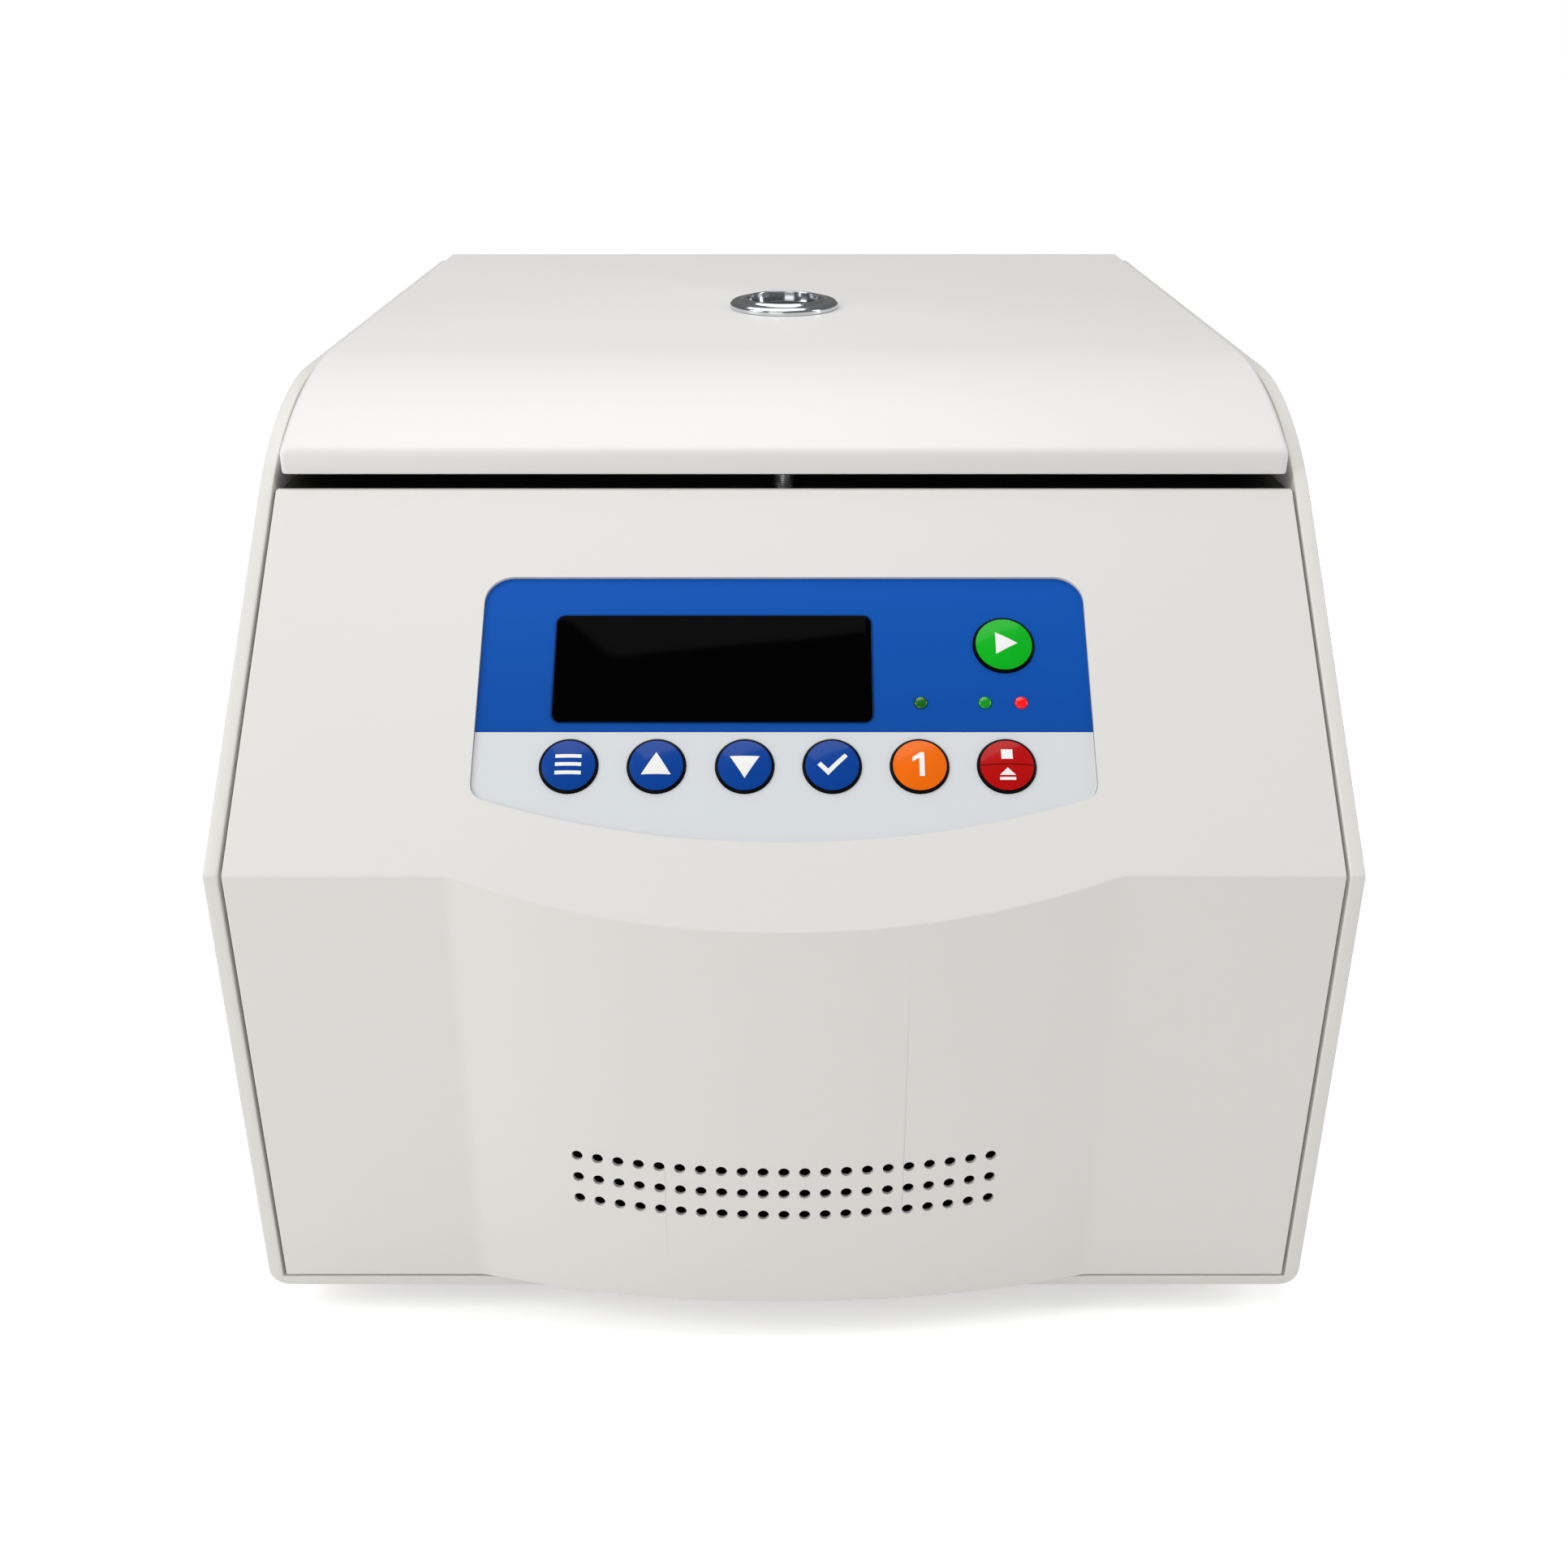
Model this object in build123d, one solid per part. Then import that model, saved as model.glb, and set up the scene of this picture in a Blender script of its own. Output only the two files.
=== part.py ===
from build123d import *
from math import cos, pi, radians, sin, sqrt, tan
import os

# High-speed bench centrifuge, millimetres, +Z up, front towards -Y.
# The pieces are drawn from the middle of the front face at the underside of the case,
# and moved at the end so that the origin lies under the middle of the whole machine.

# Case
case_width = 380.0
case_wall = 5.0
case_bottom = 4.0
case_corner = 7.0
shoulder_radius = 125.0
roof_pitch = 1.07
lid_proud = 5.0
rear_room = 58.8
rear_flange = 12.0
sheet = 2.0
fit_gap = 0.3

# Feet
foot_height = 12.0
foot_radius = 14.0
foot_inset_side = 40.0
foot_inset_front = 50.0
foot_inset_rear = 45.0
foot_screw_radius = 3.0

# Front panel
panel_gap = 0.84
panel_wall = 3.5
panel_return = 14.0
panel_flange = 3.0
knee_height = 171.2
slope_angle = 42.4
slope_length = 147.8
bulge_half_width = 110.6
bulge_depth = 14.3
bulge_blend = 18.0
vent_columns = 21
vent_pitch = 7.25
vent_diameter = 4.0
vent_heights = (44.2, 53.4, 62.6)
vent_end_rise = 3.0

# Keypad, in the plane of the slope: x from the middle, s up from the knee
keypad_half_width = 105.0
keypad_top = 111.9
keypad_bottom = 11.9
keypad_bottom_radius = 341.0
keypad_top_corner = 10.0
keypad_low_corner = 7.0
keypad_split = 52.4
keypad_recess = 2.0
overlay_thickness = 0.8
overlay_gap = 0.15
window_left = -79.2
window_right = 30.3
window_low = 56.0
window_high = 96.9
window_corner = 3.0
window_ledge = 2.5
window_thickness = 1.5
button_diameter = 19.6
button_row = 39.6
button_row_x = (-72.4, -42.9, -13.2, 16.2, 45.6, 74.9)
button_row_names = ("set_button", "up_button", "down_button", "ok_button", "preset_button", "stop_button")
start_diameter = 21.0
start_x = 76.2
start_s = 85.3
button_clearance = 0.3
button_edge = 1.2
button_crown = 1.6
button_flange = 1.6
button_flange_thickness = 1.2
button_travel = 0.8
lamp_diameter = 4.4
lamp_row = 63.3
lamp_x = (46.8, 68.7, 81.1)
lamp_names = ("ready_lamp", "run_lamp", "stop_lamp")
lamp_length = 7.0
board_thickness = 1.6
board_depth = 11.0
board_boss_radius = 4.0
board_lift = 8.0
board_trim = 20.0
board_corner = 3.0
switch_size = 6.0

# Lid
lid_gap = 2.5
lid_wall = 3.0
lid_front = 113.3
lid_bottom = 275.6
lip_height = 8.6
lip_corner = 4.0
lid_front_angle = 27.0
lid_front_radius = 182.0
lid_rear_inset = 12.0
lid_edge_radius = 2.5
roof_height = 306.9
roof_station = 242.8
liner_thickness = 3.0
liner_lift = 1.0
liner_rear_inset = 40.0

# Sight glass
glass_diameter = 33.4
glass_thickness = 4.0
bezel_diameter = 49.0
bezel_height = 4.3
bezel_edge = 1.2
bezel_fall = 2.2
bezel_tube_wall = 2.0
bezel_lip_width = 1.6
glass_ledge = 1.5
glass_clearance = 0.05
glass_drop = 2.0

# Hinge
hinge_inset = 24.0
hinge_height = 283.0
hinge_spacing = 220.0
hinge_pin_radius = 4.0
hinge_pin_clearance = 0.05
knuckle_radius = 7.0
knuckle_width = 18.0
ear_thickness = 4.0
ear_gap = 0.3
arm_length = 48.0
arm_thickness = 4.0
beam_height = 14.0
beam_depth = 22.0
beam_drop = 25.0
notch_clearance = 3.0
notch_rise = 14.0
bracket_foot = 3.0
pin_reach = 1.0

# Deck and chamber
panel_top = knee_height + slope_length * sin(radians(slope_angle))
deck_drop = 2.0
deck_thickness = 3.0
deck_rear_inset = 44.0
rail_leg = 14.0
rail_thickness = 2.0
rail_setback = 8.0
bowl_depth = 140.0
bowl_sheet = 1.2
bowl_corner = 22.0
bowl_flange = 10.0
bowl_hub_radius = 30.0
bowl_clearance = 1.0
seal_width = 6.0
seal_gap = 0.4
guard_wall = 8.0
guard_clearance = 3.0
guard_height = 100.0
guard_top_gap = 0.5
guard_post_radius = 6.0

# Lid lock
striker_station = 122.5
striker_radius = 3.9
striker_neck = 2.2
striker_lead = 1.2
striker_flange_radius = 5.6
striker_flange = 3.0
striker_below_deck = 15.0
striker_head = 3.0
striker_groove = 6.0
lock_hole_radius = 7.5
lock_room = 25.3
lock_wall = 6.0
lock_body_width = 64.0
lock_body_depth = 24.0
lock_body_height = 26.0
bolt_width = 12.0
bolt_thickness = 2.5
bolt_length = 30.0
bolt_slot = 6.4
bolt_draw = 2.0
bolt_slot_depth = 10.0
bolt_clearance = 0.2

# Drive
base_thickness = 4.0
base_inset = 20.0
isolator_radius = 13.0
isolator_height = 34.0
isolator_circle = 78.0
motor_plate_radius = 96.0
motor_plate_thickness = 5.0
motor_radius = 52.0
motor_flange_radius = 64.0
motor_flange_thickness = 6.0
motor_upper_height = 56.0
motor_lower_height = 28.0
motor_nose_radius = 16.0
motor_nose_height = 8.0
boot_wall = 2.0
shaft_radius = 8.0
cone_base_radius = 10.0
cone_top_radius = 7.0
cone_height = 40.0
stud_radius = 4.0

# Rotor
rotor_floor_gap = 14.0
rotor_height = 88.0
rotor_radius = 110.0
rotor_room = 10.0
rotor_foot_radius = 80.0
rotor_foot_height = 20.0
rotor_band_height = 13.0
rotor_top_radius = 78.0
rotor_bore_clearance = 0.1
tube_count = 6
tube_bore = 29.5
tube_depth = 82.0
tube_angle = 30.0
tube_wall = 9.2
rotor_lid_thickness = 6.0
rotor_lid_gap = 0.2
knob_radius = 15.0
knob_height = 16.0
knob_flutes = 8
knob_flute_radius = 3.0
stud_reach = 12.0

# Rear services
fan_size = 92.0
fan_depth = 25.0
fan_side = 95.0
fan_z = 120.0
fan_ring_radius = 43.5
fan_blade_radius = 42.0
fan_hub_radius = 18.0
fan_blades = 7
fan_blade_chord = 20.0
fan_blade_thickness = 1.5
fan_blade_pitch = 35.0
fan_arm = 4.0
fan_corner = 4.0
fan_play = 1.0
fan_front_gap = 3.0
fan_axle_share = 0.6
fan_axle_radius = 2.5
grille_slot = 4.0
grille_pitch = 8.0
inlet_side = 70.0
inlet_z = 60.0
inlet_width = 48.0
inlet_height = 28.0
inlet_flange = 4.0
inlet_depth = 30.0
inlet_face = 3.0
fuse_width = 30.0
fuse_height = 8.0
fuse_length = 22.0
fuse_clearance = 0.2
fuse_notch = 8.0
socket_width = 24.5
socket_height = 16.5
socket_depth = 17.0
socket_bevel = 4.0
socket_margin = 2.0
pin_spacing = 7.0
pin_width = 2.0
pin_height = 4.0
pin_setback = 3.0
rocker_spacing = 60.0
rocker_z = 60.0
rocker_width = 13.0
rocker_height = 20.0
rocker_wall = 2.0
rocker_flange = 2.0
rocker_depth = 16.0
rocker_tilt = 8.0
rocker_play = 1.2
rocker_front = 2.2
rocker_dip = 1.4
rocker_back = 6.0
rocker_taper = 0.55
pivot_depth = 2.0
pivot_radius = 1.5
pivot_reach = 1.6
pivot_clearance = 0.05
rear_screw_radius = 3.5
rear_screw_head = 1.6
rear_screw_margin = 20.0
board_width = 120.0
board_length = 70.0
board_side = 90.0
board_y = 70.0
standoff_height = 12.0
standoff_radius = 4.0
sink_height = 30.0
sink_fins = 7
sink_width = 50.0
sink_depth = 52.0
sink_base = 4.0
sink_fin = 2.0
sink_offset = 29.0
capacitor_radius = 8.0
capacitor_height = 28.4
capacitor_spacing = 18.0
capacitor_offset = -31.0
capacitor_forward = 15.0
choke_width = 36.0
choke_depth = 22.0
choke_height = 24.0
choke_offset = -32.0
choke_back = 17.0
standoff_inset = 6.0

from_below = (Align.CENTER, Align.CENTER, Align.MIN)
from_above = (Align.CENTER, Align.CENTER, Align.MAX)

bowl_radius = rotor_radius + rotor_room
guard_radius = bowl_radius + bowl_sheet + guard_clearance
chamber_station = striker_station + lock_body_depth / 2 + lock_room + guard_radius + guard_wall
case_depth = chamber_station + bowl_radius + bowl_sheet + rear_room
lid_rear = case_depth - lid_rear_inset
liner_rear = case_depth - liner_rear_inset
deck_rear = case_depth - deck_rear_inset
hinge_station = case_depth - hinge_inset
beam_top = hinge_height - beam_drop
notch_top = hinge_height + notch_rise
half_width = case_width / 2
fan_x = -(half_width - fan_side)
inlet_x = half_width - inlet_side
rocker_x = inlet_x - rocker_spacing
board_x = -(half_width - board_side)
tube_lean = radians(tube_angle)
tube_top_radius = rotor_radius - tube_wall - tube_depth * sin(tube_lean) - tube_bore / 2 * cos(tube_lean)
inner_half = half_width - case_wall
panel_half = inner_half - panel_gap
panel_bottom = case_bottom + panel_gap
slope = Plane(
    origin=(0, 0, knee_height),
    x_dir=(1, 0, 0),
    z_dir=(0, -sin(radians(slope_angle)), cos(radians(slope_angle))),
)
panel_top_station = slope_length * cos(radians(slope_angle))
bulge_radius = (bulge_half_width ** 2 + bulge_depth ** 2) / (2 * bulge_depth)
deck_top = panel_top - deck_drop
deck_front = panel_top_station + panel_flange + fit_gap
liner_bottom = lid_bottom + liner_lift
lid_half = inner_half - lid_gap
bowl_bottom = deck_top - bowl_depth
rotor_bottom = bowl_bottom + rotor_floor_gap
rotor_top = rotor_bottom + rotor_height
base_top = case_bottom + base_thickness
motor_plate_bottom = base_top + isolator_height
motor_plate_top = motor_plate_bottom + motor_plate_thickness
motor_top = motor_plate_top + motor_flange_thickness + motor_upper_height
back_outer = case_depth - 2 * sheet
back_inner = back_outer - sheet
back_top = beam_top
chamber = Pos(0, chamber_station, 0)
machine_frame = Pos(0, -(case_depth - bulge_depth) / 2, foot_height)


# Height of the lid's long top surface at a distance behind the front face.
def roof_at(station):
    return roof_height + (station - roof_station) * tan(radians(roof_pitch))


# A closed outline in the side view, pushed out evenly to both sides of the middle.
def side_block(outline, half):
    return extrude(Plane.YZ * outline, amount=half, both=True)


# A ring or disc between two radii and two heights.
def turned(inner, outer, low, high):
    ring = Pos(0, 0, low) * Cylinder(outer, high - low, align=from_below)
    if inner > 0:
        ring -= Pos(0, 0, low) * Cylinder(inner, high - low, align=from_below)
    return ring


# A box between two corners.
def block(x0, x1, y0, y1, z0, z1):
    return Pos((x0 + x1) / 2, (y0 + y1) / 2, (z0 + z1) / 2) * Box(x1 - x0, y1 - y0, z1 - z0)


# A half outline of (radius, height) points, turned about the upright axis.
def spun(points):
    return revolve(Plane.XZ * make_face(Polyline(*points, close=True).edges()), Axis.Z)


# Side view of the case: upright front, slope, rounded shoulder, long roof.
def case_outline():
    roof_drop = roof_at(0) - lid_proud
    rise = tan(radians(slope_angle)) - tan(radians(roof_pitch))
    shoulder_station = (roof_drop - knee_height) / rise
    shoulder = (shoulder_station, roof_at(shoulder_station) - lid_proud)
    outline = make_face(
        Polyline(
            (0, 0),
            (0, knee_height),
            shoulder,
            (case_depth, roof_at(case_depth) - lid_proud),
            (case_depth, 0),
            close=True,
        ).edges()
    )
    corner = outline.vertices().sort_by_distance((shoulder[0], shoulder[1], 0))[0]
    return fillet(corner, shoulder_radius)


def outer_case():
    shell = side_block(case_outline(), half_width)
    low_edges = shell.edges().filter_by(Axis.Y).group_by(Axis.Z)[0]
    shell = fillet(low_edges, case_corner)
    shell -= block(-inner_half, inner_half, -1, case_depth + 1, case_bottom, roof_height + 50)
    flange_front = back_inner - sheet
    for side in (-1, 1):
        inner = side * (inner_half - rear_flange)
        outer = side * inner_half
        shell += block(min(inner, outer), max(inner, outer), flange_front, back_inner, case_bottom, back_top)
    for x, y in foot_places():
        shell -= Pos(x, y, 0) * Cylinder(foot_screw_radius + fit_gap, 4 * case_bottom)
    return shell


def foot_places():
    side = half_width - foot_inset_side
    return [
        (x, y)
        for x in (-side, side)
        for y in (foot_inset_front, case_depth - foot_inset_rear)
    ]


# Plan of the front panel: straight ends, bowed middle, soft hollow where they meet.
def panel_plan(inset):
    half = panel_half - inset
    radius = bulge_radius - inset
    centre = bulge_radius - bulge_depth
    reach = sqrt(radius ** 2 - (centre - inset) ** 2)
    rear = panel_top_station + panel_flange
    bow = ThreePointArc((-reach, inset), (0, centre - radius), (reach, inset))
    right = ((reach, inset), (half, inset), (half, rear))
    left = ((-half, rear), (-half, inset), (-reach, inset))
    rim = Polyline(*right, *left)
    plan = make_face(bow.edges() + rim.edges())
    joints = [v for v in plan.vertices() if abs(abs(v.X) - reach) < 0.01 and abs(v.Y - inset) < 0.01]
    return fillet(joints, bulge_blend + inset)


# Everything under the panel's faces, drawn in by the wall where the hollow is wanted.
def panel_block(inset):
    height = panel_top - panel_bottom - 2 * inset
    tower = Pos(0, 0, panel_bottom + inset) * extrude(panel_plan(inset), amount=height)
    over = slope * Pos(0, 0, -inset) * Box(2 * case_width, 4 * slope_length, case_width, align=from_below)
    return tower - over


# The keypad's outline in the plane of the slope.
def keypad_outline(inset):
    half = keypad_half_width - inset
    low = keypad_bottom + inset
    radius = keypad_bottom_radius - inset
    corner = low + radius - sqrt(radius ** 2 - half ** 2)
    top = keypad_top - inset
    edge = ThreePointArc((-half, corner), (0, low), (half, corner))
    rim = Polyline((half, corner), (half, top), (-half, top), (-half, corner))
    face = make_face(edge.edges() + rim.edges())
    upper = face.vertices().group_by(Axis.Y)[-1]
    face = fillet(upper, keypad_top_corner - inset)
    lower = [v for v in face.vertices() if abs(v.Y - corner) < 0.01]
    return fillet(lower, keypad_low_corner - inset)


# A prism standing on the slope, from one depth to another.
def on_slope(face, low, high):
    return slope * Pos(0, 0, low) * extrude(face, amount=high - low)


def button_places():
    places = [("start_button", start_x, start_s, start_diameter)]
    for name, x in zip(button_row_names, button_row_x):
        places.append((name, x, button_row, button_diameter))
    return places


def window_outline(inset):
    width = window_right - window_left - 2 * inset
    height = window_high - window_low - 2 * inset
    centre = ((window_left + window_right) / 2, (window_low + window_high) / 2)
    return Pos(*centre) * RectangleRounded(width, height, window_corner - min(inset, window_corner - 0.5))


# Vent holes stand square to the bowed wall, and each row lifts a little towards its ends.
def vent_tools():
    centre = bulge_radius - bulge_depth
    middle = (vent_columns - 1) / 2
    tools = []
    for row in vent_heights:
        for column in range(vent_columns):
            share = (column - middle) / middle
            turn = (column - middle) * vent_pitch / bulge_radius
            height = row + vent_end_rise * share ** 2
            wall = Pos(bulge_radius * sin(turn), centre - bulge_radius * cos(turn), height)
            tools.append(wall * Rot(90, 0, turn * 180 / pi) * Cylinder(vent_diameter / 2, 4 * panel_wall))
    return tools


def board_boss_places():
    x = keypad_half_width - 8
    return [(side * x, s) for side in (-1, 1) for s in (keypad_bottom + 30, keypad_top - 8)]


def front_panel():
    outside = panel_block(0)
    behind = Pos(0, panel_return, -panel_return) * outside
    shell = outside - behind - panel_block(panel_wall)
    shell -= on_slope(keypad_outline(0), -keypad_recess, 10)
    shell -= on_slope(window_outline(window_ledge), -2 * panel_wall, 10)
    for name, x, s, diameter in button_places():
        shell -= slope * Pos(x, s, 0) * Cylinder(diameter / 2 + button_clearance, 4 * panel_wall)
    for x in lamp_x:
        shell -= slope * Pos(x, lamp_row, 0) * Cylinder(lamp_diameter / 2 + overlay_gap, 4 * panel_wall)
    for x, s in board_boss_places():
        boss = Cylinder(board_boss_radius, board_depth - keypad_recess, align=from_above)
        shell += slope * Pos(x, s, -keypad_recess) * boss
    return shell - vent_tools()


def keypad_overlay(upper):
    low = -keypad_recess
    face = keypad_outline(overlay_gap)
    span = 2 * case_width
    if upper:
        keep = Pos(0, keypad_split + overlay_gap / 2) * Rectangle(span, span, align=(Align.CENTER, Align.MIN))
    else:
        keep = Pos(0, keypad_split - overlay_gap / 2) * Rectangle(span, span, align=(Align.CENTER, Align.MAX))
    sheet_piece = on_slope(face & keep, low, low + overlay_thickness)
    for name, x, s, diameter in button_places():
        sheet_piece -= slope * Pos(x, s, 0) * Cylinder(diameter / 2 + button_clearance, 4 * panel_wall)
    if upper:
        sheet_piece -= on_slope(window_outline(0), -panel_wall, 10)
        lamp_hole = Cylinder(lamp_diameter / 2 + overlay_gap, 4 * panel_wall)
        for x in lamp_x:
            sheet_piece -= slope * Pos(x, lamp_row, 0) * lamp_hole
    return sheet_piece


def display_window():
    low = -keypad_recess
    return on_slope(window_outline(overlay_gap), low, low + window_thickness)


def display_module():
    glass = on_slope(window_outline(window_ledge + 2), -board_depth, -panel_wall - fit_gap)
    frame = on_slope(window_outline(window_ledge - 1), -board_depth, -board_depth + board_thickness)
    return glass + frame


# A domed cap with a flange behind the panel that keeps it in.
def button(x, s, diameter):
    radius = diameter / 2
    face = -keypad_recess + overlay_thickness
    under = -panel_wall - fit_gap
    side = Polyline((radius, face + button_edge), (radius, under), (radius + button_flange, under))
    foot = Polyline(
        (radius + button_flange, under),
        (radius + button_flange, under - button_flange_thickness),
        (0, under - button_flange_thickness),
        (0, face + button_edge + button_crown),
    )
    top = face + button_edge + button_crown
    crown_radius = (radius ** 2 + button_crown ** 2) / (2 * button_crown)
    halfway = (radius / 2, top - crown_radius + sqrt(crown_radius ** 2 - (radius / 2) ** 2))
    dome = ThreePointArc((0, top), halfway, (radius, face + button_edge))
    outline = make_face(dome.edges() + side.edges() + foot.edges())
    return slope * Pos(x, s, 0) * revolve(Plane.XZ * outline, Axis.Z)


def status_lamp(x):
    face = -keypad_recess + overlay_thickness
    stem = Pos(0, 0, face) * Cylinder(lamp_diameter / 2, lamp_length, align=from_above)
    dome = Pos(0, 0, face) * Sphere(lamp_diameter / 2)
    dome &= Pos(0, 0, face) * Cylinder(lamp_diameter, lamp_diameter, align=from_below)
    base = Pos(0, 0, -panel_wall - fit_gap) * Cylinder(
        lamp_diameter / 2 + 0.6, board_depth - panel_wall - fit_gap, align=from_above
    )
    return slope * Pos(x, lamp_row, 0) * (stem + dome + base)


def keypad_board():
    low = -board_depth - board_thickness
    half = keypad_half_width - 2
    centre = Pos(0, (keypad_top + keypad_bottom) / 2 + board_lift)
    outline = RectangleRounded(2 * half, keypad_top - keypad_bottom - board_trim, board_corner)
    return on_slope(centre * outline, low, -board_depth)


# One small switch on the board under each button.
def key_switches():
    top = -panel_wall - fit_gap - button_flange_thickness - button_travel - fit_gap
    switches = []
    for name, x, s, diameter in button_places():
        body = Box(switch_size, switch_size, board_depth + top - 1, align=from_below)
        plunger = Cylinder(1.7, board_depth + top, align=from_below)
        switches.append(slope * Pos(x, s, -board_depth) * (body + plunger))
    return Part() + switches


# Side view of the lid: upright lip, small corner, big front curve, long roof.
def lid_outline(inset):
    front = lid_front + inset
    rear = lid_rear - inset
    low = lid_bottom if inset == 0 else lid_bottom - 20
    pitch = radians(lid_front_angle)
    corner_height = lid_bottom + lip_height - inset / cos(pitch) + inset * tan(pitch)
    roof_start = roof_at(0) - inset
    rise = tan(pitch) - tan(radians(roof_pitch))
    meet = (roof_start - corner_height + front * tan(pitch)) / rise
    peak = (meet, roof_start + meet * tan(radians(roof_pitch)))
    outline = make_face(
        Polyline(
            (front, low),
            (front, corner_height),
            peak,
            (rear, roof_at(rear) - inset),
            (rear, low),
            close=True,
        ).edges()
    )
    bend = outline.vertices().sort_by_distance((peak[0], peak[1], 0))[0]
    outline = fillet(bend, lid_front_radius - inset)
    lip = outline.vertices().sort_by_distance((front, corner_height, 0))[0]
    return fillet(lip, max(lip_corner - inset, 1.0))


def hinge_places():
    return (-hinge_spacing / 2, hinge_spacing / 2)


def lid_cover():
    cover = side_block(lid_outline(0), lid_half)
    cover = fillet(long_top_edges(cover), lid_edge_radius)
    cover -= side_block(lid_outline(lid_wall), lid_half - lid_wall)
    notch_half = knuckle_width / 2 + ear_gap + ear_thickness + notch_clearance
    for x in hinge_places():
        front = lid_rear - 3 * lid_wall
        cover -= block(x - notch_half, x + notch_half, front, lid_rear + 1, lid_bottom - 1, notch_top)
    return cover - sight_hole()


# The edges where the lid's top meets its two sides.
def long_top_edges(cover):
    chosen = []
    for edge in cover.edges():
        middle = edge.position_at(0.5)
        on_side = abs(abs(middle.X) - lid_half) < 0.01
        if on_side and middle.Z > lid_bottom + lip_height / 3 and middle.Y < lid_rear - 0.01:
            chosen.append(edge)
    return chosen


# The sight glass stands square to the roof, over the rotor, and reaches down to the liner.
def sight_place():
    return Pos(0, chamber_station, roof_at(chamber_station)) * Rot(roof_pitch, 0, 0)


def sight_depth():
    return roof_at(chamber_station) - liner_bottom


def sight_hole():
    radius = glass_diameter / 2 + bezel_tube_wall + fit_gap
    return sight_place() * turned(0, radius, -2 * sight_depth(), sight_depth())


def lid_liner():
    half = lid_half - lid_wall - fit_gap
    front = lid_front + lid_wall + fit_gap
    plate = block(-half, half, front, liner_rear, liner_bottom, liner_bottom + liner_thickness)
    return plate - sight_hole()


# The bezel's flange lies on the lid, and its tube runs down to the liner.
def sight_glass_bezel():
    bore = glass_diameter / 2
    tube = bore + bezel_tube_wall
    outer = bezel_diameter / 2
    lip_low = bore + bezel_lip_width
    points = [
        (bore, bezel_height),
        (lip_low, bezel_height),
        (lip_low + bezel_edge, bezel_height - bezel_edge),
        (outer - bezel_edge, bezel_height - bezel_fall),
        (outer, bezel_height - bezel_fall - bezel_edge),
        (outer, 0),
        (tube, 0),
        (tube, -sight_depth()),
        (bore - glass_ledge, -sight_depth()),
        (bore - glass_ledge, -glass_thickness),
        (bore, -glass_thickness),
    ]
    return sight_place() * spun(points)


def sight_glass_window():
    radius = glass_diameter / 2 - glass_clearance
    return sight_place() * turned(0, radius, -glass_thickness, bezel_height - glass_drop)


# The pin under the lid, with a neck above its head for the bolt.
def striker_post():
    tip = deck_top - striker_below_deck
    neck_low = tip + striker_head
    neck_high = neck_low + striker_groove
    points = [
        (0, liner_bottom),
        (striker_flange_radius, liner_bottom),
        (striker_flange_radius, liner_bottom - striker_flange / 3),
        (striker_radius + 1, liner_bottom - striker_flange / 3),
        (striker_radius, liner_bottom - striker_flange),
        (striker_radius, neck_high),
        (striker_neck, neck_high),
        (striker_neck, neck_low),
        (striker_radius, neck_low),
        (striker_radius - striker_lead, tip),
        (0, tip),
    ]
    return Pos(0, striker_station, 0) * spun(points)


# Places a bar along X at a hinge's axis.
def hinge_bar(x, radius, length):
    return Pos(x, hinge_station, hinge_height) * Rot(0, 90, 0) * Cylinder(radius, length)


# Arms on the liner, each ending in a rolled knuckle round its hinge pin.
def hinge_arms():
    arms = []
    leaf_low = liner_bottom + liner_thickness
    leaf_high = leaf_low + arm_thickness
    half = knuckle_width / 2
    for x in hinge_places():
        leaf = block(x - half, x + half, hinge_station - arm_length, hinge_station, leaf_low, leaf_high)
        low = min(hinge_height, leaf_low)
        high = max(hinge_height, leaf_high)
        leaf += block(x - half, x + half, hinge_station - arm_thickness, hinge_station, low, high)
        eye = hinge_bar(x, knuckle_radius, knuckle_width)
        bore = hinge_bar(x, hinge_pin_radius + hinge_pin_clearance, 2 * knuckle_width)
        arms.append((leaf + eye) - bore)
    return Part() + arms


# Two ears on a foot for each hinge, fixed to the beam.
def hinge_brackets():
    brackets = []
    front = hinge_station - knuckle_radius
    rear = hinge_station + knuckle_radius
    inner = knuckle_width / 2 + ear_gap
    outer = inner + ear_thickness
    foot_front = hinge_station - beam_depth / 2
    for x in hinge_places():
        bracket = block(x - outer, x + outer, foot_front, rear, beam_top, beam_top + bracket_foot)
        for low, high in ((x - outer, x - inner), (x + inner, x + outer)):
            bracket += block(low, high, front, rear, beam_top, hinge_height)
            bracket += hinge_bar((low + high) / 2, knuckle_radius, ear_thickness)
        brackets.append(bracket - hinge_bar(x, hinge_pin_radius, 4 * outer))
    return Part() + brackets


def hinge_pins():
    length = knuckle_width + 2 * (ear_gap + ear_thickness + pin_reach)
    return Part() + [hinge_bar(x, hinge_pin_radius, length) for x in hinge_places()]


# A tube across the back that carries the hinges.
def hinge_beam():
    front = hinge_station - beam_depth / 2
    rear = min(hinge_station + beam_depth / 2, back_inner - sheet - fit_gap)
    low = beam_top - beam_height
    tube = block(-inner_half, inner_half, front, rear, low, beam_top)
    return tube - block(-case_width, case_width, front + sheet, rear - sheet, low + sheet, beam_top - sheet)


def top_deck():
    half = inner_half - fit_gap
    deck = block(-half, half, deck_front, deck_rear, deck_top - deck_thickness, deck_top)
    deck -= chamber * turned(0, bowl_radius + bowl_sheet + bowl_clearance, deck_top - 20, deck_top + 5)
    deck -= Pos(0, striker_station, deck_top) * Cylinder(lock_hole_radius, 20)
    return deck


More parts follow.
